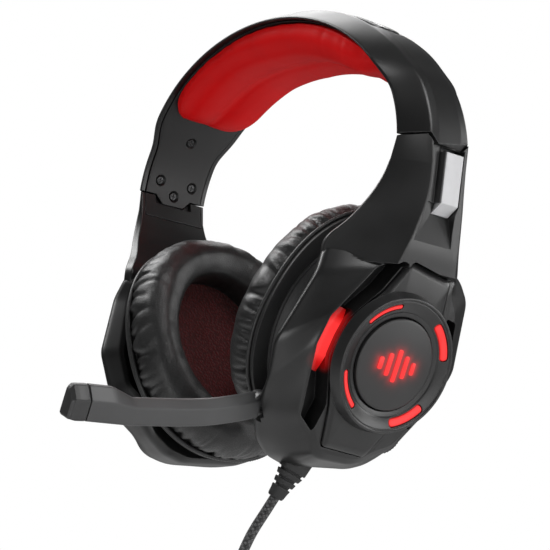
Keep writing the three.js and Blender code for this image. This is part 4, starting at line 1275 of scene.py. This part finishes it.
def add_ring(side):
    """The dished bezel with its four slots."""
    profile = [
        (18.6, 37.4), (20.8, 37.4), (20.8, 42.3), (25.2, 42.3), (25.2, 39.8), (27.9, 39.8), (28, 40.1),
        (27.7, 40.7), (26.9, 44.5), (26.7, 44.9), (26.4, 45), (26, 44.95), (25.75, 44.75), (25.6, 44.4),
        (25.4, 44.35), (25.1, 44.5), (21.2, 43.3), (20.9, 43.05), (20.5, 42.7), (19.4, 42.5),
        (18.9, 42.35), (18.6, 42),
    ]
    slots = []
    for degrees, inner, outer in LIGHTS:
        angle = math.radians(degrees) - FACE_RAKE
        slots.append(prism(arc_outline(angle, inner - 0.25, outer + 0.25, LIGHT_HALF + 0.012), 30, 60))
    add_side_piece(side, "ring", turned(profile, 160), "ring_black", "ring_bezel", sharp=26, cuts=slots)


def ring_slope(r):
    """Height of the bezel's dished face, which carries the lights."""
    return 43.3 + (r - 21.2) * 0.31


def lens_ring(light, inset, drop):
    degrees, inner, outer = light
    angle = math.radians(degrees) - FACE_RAKE
    outline = np.array(arc_outline(angle, inner + inset, outer - inset, LIGHT_HALF - inset / 23))
    height = ring_slope(np.hypot(outline[:, 0], outline[:, 1])) - drop
    return np.column_stack([height, outline])


def add_values(obj, name, values):
    layer = obj.data.attributes.new(name, "FLOAT", "POINT")
    layer.data.foreach_set("value", np.asarray(values, np.float32))


def add_lit_piece(side, name, skin, lit, stands_for, sharp=32):
    """A lens with how brightly each of its points shines."""
    lens = make_object(f"{side}_{name}", skin.moved(in_part), side == "right")
    add_values(lens, "lit", lit)
    finish_piece(lens, f"slider_{side}", "red_light", [f"{side}_{stands_for}"], sharp)


def add_ring_lights(side):
    """The carrier ring under the bezel with its four lenses, each hottest along its middle."""
    skin = turned([(21.2, 39.9), (24.9, 39.9), (24.9, 42), (21.2, 42)], 96)
    lit = [np.zeros(len(skin.points))]
    for light in LIGHTS:
        width = light[2] - light[1]
        steps = [(0, 2.5, 0), (0, 0.5, 0.15), (0.12, 0.2, 0.4), (0.45, 0.1, 0.8), (width * 0.36, 0.05, 1)]
        lens = loft([lens_ring(light, inset, drop) for inset, drop, glow in steps])
        skin = skin + lens
        lit += [np.full(len(lens.points) // len(steps), glow) for inset, drop, glow in steps]
    add_lit_piece(side, "ring_lenses", skin, np.concatenate(lit), "light_guide")


def add_pocket_light(side):
    """The long lens in the front pocket, brightest in the middle of its length."""
    rings, lit = [], []
    for along in np.linspace(-13, 13, 53):
        outer, inner = -31.6 + 0.012 * along * along, -23.3 - 0.008 * along * along
        section = [(GAP, outer), (2.6, outer + 1), (3.8, outer + 3.6), (3.4, inner), (GAP, inner)]
        points = [[POCKET_FLOOR + rise, *rake([[y, along + LENS_MID]])[0]] for rise, y in section]
        ring = soften(points, [0.2, 0.8, 1.6, 0.4, 0.2], 5, 3)
        rings.append(ring)
        fade = np.clip((13 - abs(along)) / 6.5, 0, 1) ** 0.8
        lift = np.clip((ring[:, 0] - POCKET_FLOOR - 0.8) / 2.6, 0, 1)
        lit.append(fade * (0.25 + 0.75 * lift))
    add_lit_piece(side, "pocket_lens", loft(rings), np.concatenate(lit), "vent_light", 50)


MARK_BARS = [5, 9, 13, 9, 5]
MARK_PITCH = 4
MARK_HALF = 1.1


def mark_distance(y, z):
    """Distance in the disc's face to the nearest bar of the mark."""
    nearest = np.full(y.shape, 1e9)
    for i, height in enumerate(MARK_BARS):
        dy = np.maximum(np.abs(y - (i - 2) * MARK_PITCH) - MARK_HALF, 0)
        dz = np.maximum(np.abs(z) - height / 2 + MARK_HALF, 0)
        nearest = np.minimum(nearest, np.hypot(dy, dz))
    return nearest


def disc_height(r):
    return DISC_TOP - DISC_DOME * (r / DISC_R) ** 2


def add_disc(side):
    """The domed centre disc with the mark's glow, and the mark's bars standing on it."""
    edge = [(17.9, 36.2), (18.1, 36.2), (18.2, 36.4)]
    for radius, at, drop in ((DISC_R, 18.2, 0.5), (18.12, 18.1, 0.2), (17.9, 17.9, 0.05)):
        edge.append((radius, disc_height(at) - drop))
    skin = turned(edge + [(r, disc_height(r)) for r in np.linspace(17.5, 0.4, 40)], 120, "cap")
    glow = np.exp(-mark_distance(skin.points[:, 1], skin.points[:, 2]) / 1.1)
    glow[skin.points[:, 0] < 40] = 0
    disc = make_object(f"{side}_disc", skin.moved(in_part), side == "right")
    add_values(disc, "glow", glow)
    finish_piece(disc, f"slider_{side}", "disc_grey", [f"{side}_centre_disc"])
    bars = [mark_bar((i - 2) * MARK_PITCH, height / 2) for i, height in enumerate(MARK_BARS)]
    skin = sum(bars[1:], bars[0])
    add_lit_piece(side, "mark", skin, np.full(len(skin.points), 0.85), "disc_mark")


def mark_bar(y, half):
    outline = soften(rectangle(y - MARK_HALF, y + MARK_HALF, -half, half), 0.9, 6, 2)
    base = disc_height(np.hypot(outline[:, 0], outline[:, 1]))
    middle = np.array([y, 0])
    steps = [(1, 0.02), (1, 0.2), (0.93, 0.3)]
    return loft([np.column_stack([base + rise, scaled(outline, middle, k)]) for k, rise in steps])


# ---------- inner cup and pads ----------
PAD_MID_Y = 2.8
EAR_HALF = (28, 32)
PAD_REACH = 14.7
# Round the pad's section: x, and the share of its reach. The seam comes first.
PAD_PROFILE = [
    [5.2, 1], [1.7, 1.1], [-3.8, 1.13], [-9.5, 1.03], [-12.8, 0.82], [-14, 0.5], [-11.5, 0.12],
    [-7, 0], [5.2, 0.08],
]
PAD_SEATS = {"left": (math.radians(-17), (0, 2, 4.4)), "right": (math.radians(4), (0, -3, -3.2))}


def pad_seat(skin, side):
    """Each pad is put on its housing a little off centre and turned about the cup's axis."""
    lean, shift = PAD_SEATS[side]
    c, s = math.cos(lean), math.sin(lean)
    turn = np.array([[1, 0, 0], [0, c, -s], [0, s, c]])
    return skin.moved(lambda points: points @ turn.T + shift)


def pad_ring_points(x, t):
    half_y, half_z = EAR_HALF[0] + PAD_REACH * t, EAR_HALF[1] + (PAD_REACH + 0.9) * t
    return at_x(ellipse(half_y, half_z, PAD_AROUND, PAD_MID_Y, 2 + 0.2 * t), x)


PAD_AROUND = 420


def add_ear_pad(side):
    """A stuffed leatherette ring, pleated where it is gathered into its seam, with piping."""
    keys = np.array(PAD_PROFILE)
    back = keys[-1:] + (keys[:1] - keys[-1:]) * np.array([[0.33], [0.66]])
    profile = np.concatenate([spline(keys, 9), back])
    rings = np.array([pad_ring_points(x, t) for x, t in profile])
    steps = np.linalg.norm(np.diff(profile * [1, PAD_REACH], axis=0), axis=1)
    from_seam = np.concatenate([[0], np.cumsum(steps)])[:, None]
    from_inner = (from_seam[72] - from_seam).clip(0, None)
    length = 2 * math.pi * 45
    along = (np.arange(PAD_AROUND) / PAD_AROUND * length)[None, :]
    push = 0.5 * np.exp(-(((from_seam - 9) / 8) ** 2)) * np.ones_like(along)
    for start, *pleats in (
        [from_seam, 96, 9.5, 1.5, 0.8, 11], [from_seam, 30, 16, 0.8, 1.5, 12],
        [from_inner, 30, 8, 0.45, 2.2, 13],
    ):
        push = push + puckers(along, start, length, *pleats)
    push = push + 0.32 * soft_noise(rings, 17, 14) + 0.12 * soft_noise(rings, 7, 15)
    hold = np.clip(from_seam / 1.5, 0, 1) * (from_seam < from_seam[74])
    rings = rings + grid_normals(rings) * (push * hold)[..., None]
    bead = []
    for a in np.linspace(0, 2 * math.pi, 12, endpoint=False):
        bead.append(pad_ring_points(4.5 + 0.95 * math.cos(a), 1.075 + 0.95 * math.sin(a) / PAD_REACH))
    stitches = 0.1 * np.sin(along / 1.4 * 2 * math.pi)[..., None]
    bead = np.array(bead) + grid_normals(np.array(bead)) * stitches
    skin = pad_seat(loft(rings, "loop") + loft(bead, "loop"), side).moved(in_part)
    slot, stands_for = "leatherette", [f"{side}_ear_pad"]
    piece = add_piece(f"{side}_pad", skin, f"cup_{side}", slot, stands_for, side == "right", sharp=80)


def add_pad_base(side):
    """The clip ring that carries the pad, and the dished cloth over the driver."""
    outer = ellipse(43.7, 48.6, 160, PAD_MID_Y, 2.2)
    inner = ellipse(31.2, 35.2, 160, PAD_MID_Y)
    middle = np.array([PAD_MID_Y, 0])
    steps = [(1, 5.5), (0.99, 5.9), (1, 6.3), (1, 7.3), (0.99, 7.5)]
    rings = [at_x(scaled(outer, middle, k), x) for k, x in steps] + [at_x(inner, x) for x in (7.5, 5.5)]
    ring = pad_seat(loft(rings, "loop"), side)
    add_side_piece(side, "clip_ring", ring, "matte_black", "pad_ring", "cup")
    cloth = ellipse(30.5, 34.5, 120, PAD_MID_Y)
    rings = [at_x(cloth, 6.9)]
    for k in np.linspace(1, 0.03, 26):
        ring = at_x(scaled(cloth, middle, k), 6.5)
        ring[:, 0] = 5.7 + 0.9 * (1 - k**2) + 0.1 * soft_noise(ring, 11, 21)
        rings.append(ring)
    rings.append(at_x(scaled(cloth, middle, 0.03), 7.0))
    add_side_piece(side, "driver_sock", pad_seat(loft(rings), side), "red_cloth", "driver_cloth", "cup", 60)


def add_inner_cup(side):
    """The speaker housing that tilts inside the shell, with two raised bands."""
    mirror = side == "right"
    outer = [
        (7.8, 36.5, 41.5), (8.6, 36.5, 41.5), (8.8, 36, 41), (9.6, 36, 41), (9.8, 36.3, 41.3),
        (12, 35, 40), (15, 31, 35.4), (17, 27, 31), (19, 20, 23),
    ]
    inner = [(16.6, 22, 25), (13, 30, 34), (7.8, 33, 38)]
    rings = [at_x(ellipse(y, z, 120, 2), x) for x, y, z in outer[::-1] + inner[::-1]]
    housing = make_object(f"{side}_speaker_cup", loft(rings).moved(in_part), mirror)
    boss = softened_prism(rectangle(-6.8, 6.8, -3.2, 3.2), 18, 24.6, 0.8)
    boolean(housing, "UNION", [boss.moved(in_part)], mirror)
    boolean(housing, "DIFFERENCE", [pin_bore().moved(in_part)], mirror)
    finish_piece(housing, f"cup_{side}", "matte_black", [f"{side}_inner_cup"])


# ---------- microphone, wheel and gland ----------
BOOM_PATH = [[14.9, -36, -30.6], [15.6, -44, -33], [16.6, -56.5, -36.2], [17, -70, -38.4],
[16.8, -91, -41.2]]
HEAD_PATH = [[15.6, -99, -41.6], [13.8, -108, -42.6]]
CAP_PATH = np.array([[13.7, -108.4, -42.7], [12.8, -113, -43.3], [12.3, -115.2, -43.7]])
# Each ring of the cap: its point of the path, a shift along y and a size.
CAP_RINGS = [
    (0, 0, 0.965), (0, -0.5, 1), (1, 1.4, 1), (1, 0.2, 0.985),
    (1, -0.9, 0.955), (2, 0.9, 0.9), (2, 0.2, 0.78), (2, 0, 0.62),
]
BOOM_SECTION = [[3, -4.7], [3, 2.4], [-0.8, 5], [-3, 5], [-3, -4.7]]
HEAD_SECTION = [[3.4, -5], [3.4, 3], [-1.4, 7.6], [-4.4, 7.6], [-4.4, -5]]
SECTION_RADIUS = [1.1, 0.45, 0.5, 1.1, 1.1]


def boom_ring(place, section, k=1.0):
    outline = soften(section, SECTION_RADIUS, 5, 4) * k
    x, y, z = place
    return np.column_stack([x + outline[:, 0], np.full(len(outline), y), z + outline[:, 1]])


def add_microphone():
    """The boom with its hub and mouthpiece head, the end cap, and the capsule's recess."""
    arm_rings = [boom_ring(place, BOOM_SECTION) for place in BOOM_PATH]
    head_rings = [boom_ring(place, HEAD_SECTION) for place in HEAD_PATH]
    first = soften(np.array(arm_rings), [0, 3, 5, 5, 0], 5, 5, closed=False)
    second = soften(np.array([arm_rings[-1]] + head_rings), [0, 1.5, 0], 4, 5, closed=False)[1:]
    boom = make_object("boom_arm", loft(np.concatenate([first, second])).moved(in_part))
    hub = turned([
        (3.8, -2.8), (4.2, -2.4), (4.2, 2.2), (3.8, 2.6), (3, 2.6), (2.8, 2.3), (1.4, 2.3),
        (1.3, 2.6), (0.1, 2.6),
    ], 64, "cap")
    boolean(boom, "UNION", [hub.shifted([14.6, HUB_Y, HUB_Z]).moved(in_part)])
    x, y, z = HEAD_PATH[0]
    mouth = rod(3.3, -2, 1.45, 40).shifted([x - 3.7, y - 3.4, z + 1.2])
    boolean(boom, "DIFFERENCE", [mouth.moved(in_part)])
    finish_piece(boom, "mic_boom", "boom_grey", ["mic_boom"], sharp=26)
    rings = [boom_ring(CAP_PATH[i] + [0, shift, 0], HEAD_SECTION, k) for i, shift, k in CAP_RINGS]
    add_piece("boom_cap", loft(rings).moved(in_part), "mic_boom", "boom_cap", ["mic_tip_cap"])


WHEEL = (22, 23.2, -30.6)
WHEEL_R = 9.2
# Radius, x and share of the knurl's depth.
WHEEL_PROFILE = [
    (2, -1.8, 0), (8.2, -1.8, 0), (8.9, -1.5, 0.8), (WHEEL_R, -1, 1), (WHEEL_R, 1, 1), (8.9, 1.5, 0.8),
    (8.2, 1.8, 0), (4.6, 1.8, 0), (4.4, 1.4, 0), (0.3, 1.4, 0),
]


def wheel_space():
    return rod(WHEEL_R + 1, -2.6, 2.6, 64).shifted(WHEEL)


def add_volume_wheel():
    """A knurled thumb wheel with a hub recess."""
    angles = np.arange(240) / 240 * 2 * math.pi
    knurl = 0.32 * (0.5 + 0.5 * np.cos(angles * 40)) ** 0.7
    skin = loft([circle_ring(radius - knurl * depth, x, angles) for radius, x, depth in WHEEL_PROFILE])
    skin = skin.shifted(WHEEL).moved(in_part)
    add_piece("thumb_wheel", skin, "volume_wheel", "black_rubber", ["volume_wheel"], sharp=50)


GLAND = (19, -11, -48)
GLAND_AXIS = np.array([-0.06, -0.29, -0.955])
GLAND_SIZES = np.array([[0, 3.6, 6.2], [5.5, 3.6, 6], [9, 3.2, 4.6], [16.6, 2.5, 2.9]])  # far, half sizes


def gland_ring(far, grow):
    along = np.cross(GLAND_AXIS, [1, 0, 0])
    w, d = (float(np.interp(far, GLAND_SIZES[:, 0], GLAND_SIZES[:, k])) + grow for k in (1, 2))
    outline = ellipse(1, 1, 40, 0, 3.4)
    across = np.outer(outline[:, 0] * w, [1, 0, 0]) + np.outer(outline[:, 1] * d, along)
    return np.array(GLAND) + GLAND_AXIS * far + across


def gland(grow):
    return loft([gland_ring(far, grow) for far in GLAND_SIZES[:, 0]])


def add_strain_relief():
    """A moulded strain relief with three deep notches, and a collar where the cable leaves it."""
    rows = [(0, 0), (5, 0)]
    for far in (5.4, 8.6, 11.8):
        rows += [(far, -0.1), (far + 0.1, -0.9), (far + 1, -0.9)]
        rows += [(far + 1.1, -0.1), (far + 1.3, 0.05), (far + 2.9, 0.05)]
    rows += [(15.2, 0.1), (16.6, 0.2), (17.4, 0), (17.7, -0.4)]
    skin = loft([gland_ring(far, grow) for far, grow in rows]).moved(in_part)
    add_piece("cable_boot", skin, "slider_left", "black_rubber", ["strain_relief"])


# ---------- put together ----------
add_headband_shell()
add_top_panel()
add_liner_and_screws()
add_band_cushion()
for side in ("left", "right"):
    for add in (
        add_cup_shell, add_arm_strip, add_face_plate, add_ring, add_ring_lights,
        add_pocket_light, add_disc, add_inner_cup, add_pad_base, add_ear_pad,
    ):
        add(side)
add_microphone()
add_volume_wheel()
add_strain_relief()

CARRIED_OVER = {
    "headband_spring": "spring_steel", "slider_rail": "spring_steel", "tilt_pin": "spring_steel",
    "arm_inner_cover": "satin_black", "led_board": "circuit_board", "volume_pot": "circuit_board",
    "driver": "driver_can", "mic_capsule": "driver_can", "usb_plug_shell": "plug_steel",
}


def dress_cad_nodes():
    for name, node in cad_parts.items():
        kind = name.removeprefix("left_").removeprefix("right_")
        if kind in CARRIED_OVER:
            node.data.materials.clear()
            node.data.materials.append(MATERIALS[CARRIED_OVER[kind]])


dress_cad_nodes()


# ---------- stage, in metres ----------
FLOOR_Z = -0.42
FLOOR_FAR = 12.0
LIGHT_AIM = Vector((0, 0, -0.1))
LIGHT_DISTANCE = 0.9
# Name, azimuth and elevation in degrees, size, watts.
SOFTBOXES = [
    ("key", -60, 48, 0.45, 7), ("front", 27, -8, 0.25, 1.6), ("left_high", 90, 50, 0.45, 4),
    ("left_low", 95, -4, 0.4, 1.5), ("rear_left", 130, 0, 0.35, 2), ("rear", 155, 22, 0.35, 2),
    ("far", 240, 50, 0.45, 2.5),
]


def add_floor():
    """A wide pale floor that shows as white as the world behind it."""
    mesh = bpy.data.meshes.new("floor")
    corners = rectangle(-FLOOR_FAR, FLOOR_FAR, -FLOOR_FAR, FLOOR_FAR)
    mesh.from_pydata([(x, y, FLOOR_Z) for x, y in corners], [], [range(4)])
    floor = add_object("floor", mesh)
    n = Nodes("floor")
    mottled = n.noise(3, 2)
    color = n.mix(mottled, (0.80, 0.80, 0.80, 1), (0.84, 0.84, 0.84, 1))
    seen = n.math("MULTIPLY", n.add("ShaderNodeLightPath").outputs["Is Camera Ray"], 0.93)
    mesh.materials.append(n.finish(color, 0.8, Emission_Color=(1, 1, 1, 1), Emission_Strength=seen))


def add_light(name, azimuth, elevation, size, watts):
    """A square softbox on a sphere round the headset, facing it."""
    a, e = math.radians(azimuth), math.radians(elevation)
    away = Vector((math.sin(a) * math.cos(e), -math.cos(a) * math.cos(e), math.sin(e)))
    data = bpy.data.lights.new(name, "AREA")
    data.shape = "SQUARE"
    data.size = size
    data.energy = watts
    light = add_object(name, data)
    light.visible_camera = False
    light.location = LIGHT_AIM + away * LIGHT_DISTANCE
    light.rotation_euler = away.to_track_quat("Z", "Y").to_euler()


def add_world(ambient):
    """White behind the object, and a dimmer even light on it."""
    world = bpy.data.worlds.new("studio")
    bpy.context.scene.world = world
    world.use_nodes = True
    tree = world.node_tree
    background = tree.nodes["Background"]
    rays = tree.nodes.new("ShaderNodeLightPath")
    level = tree.nodes.new("ShaderNodeMapRange")
    level.inputs["To Min"].default_value = ambient
    level.inputs["To Max"].default_value = 1
    tree.links.new(rays.outputs["Is Camera Ray"], level.inputs["Value"])
    tree.links.new(level.outputs["Result"], background.inputs["Strength"])
    background.inputs["Color"].default_value = (1, 1, 1, 1)


add_floor()
add_world(0.08)
for softbox in SOFTBOXES:
    add_light(*softbox)
bpy.context.scene.view_settings.view_transform = "Standard"
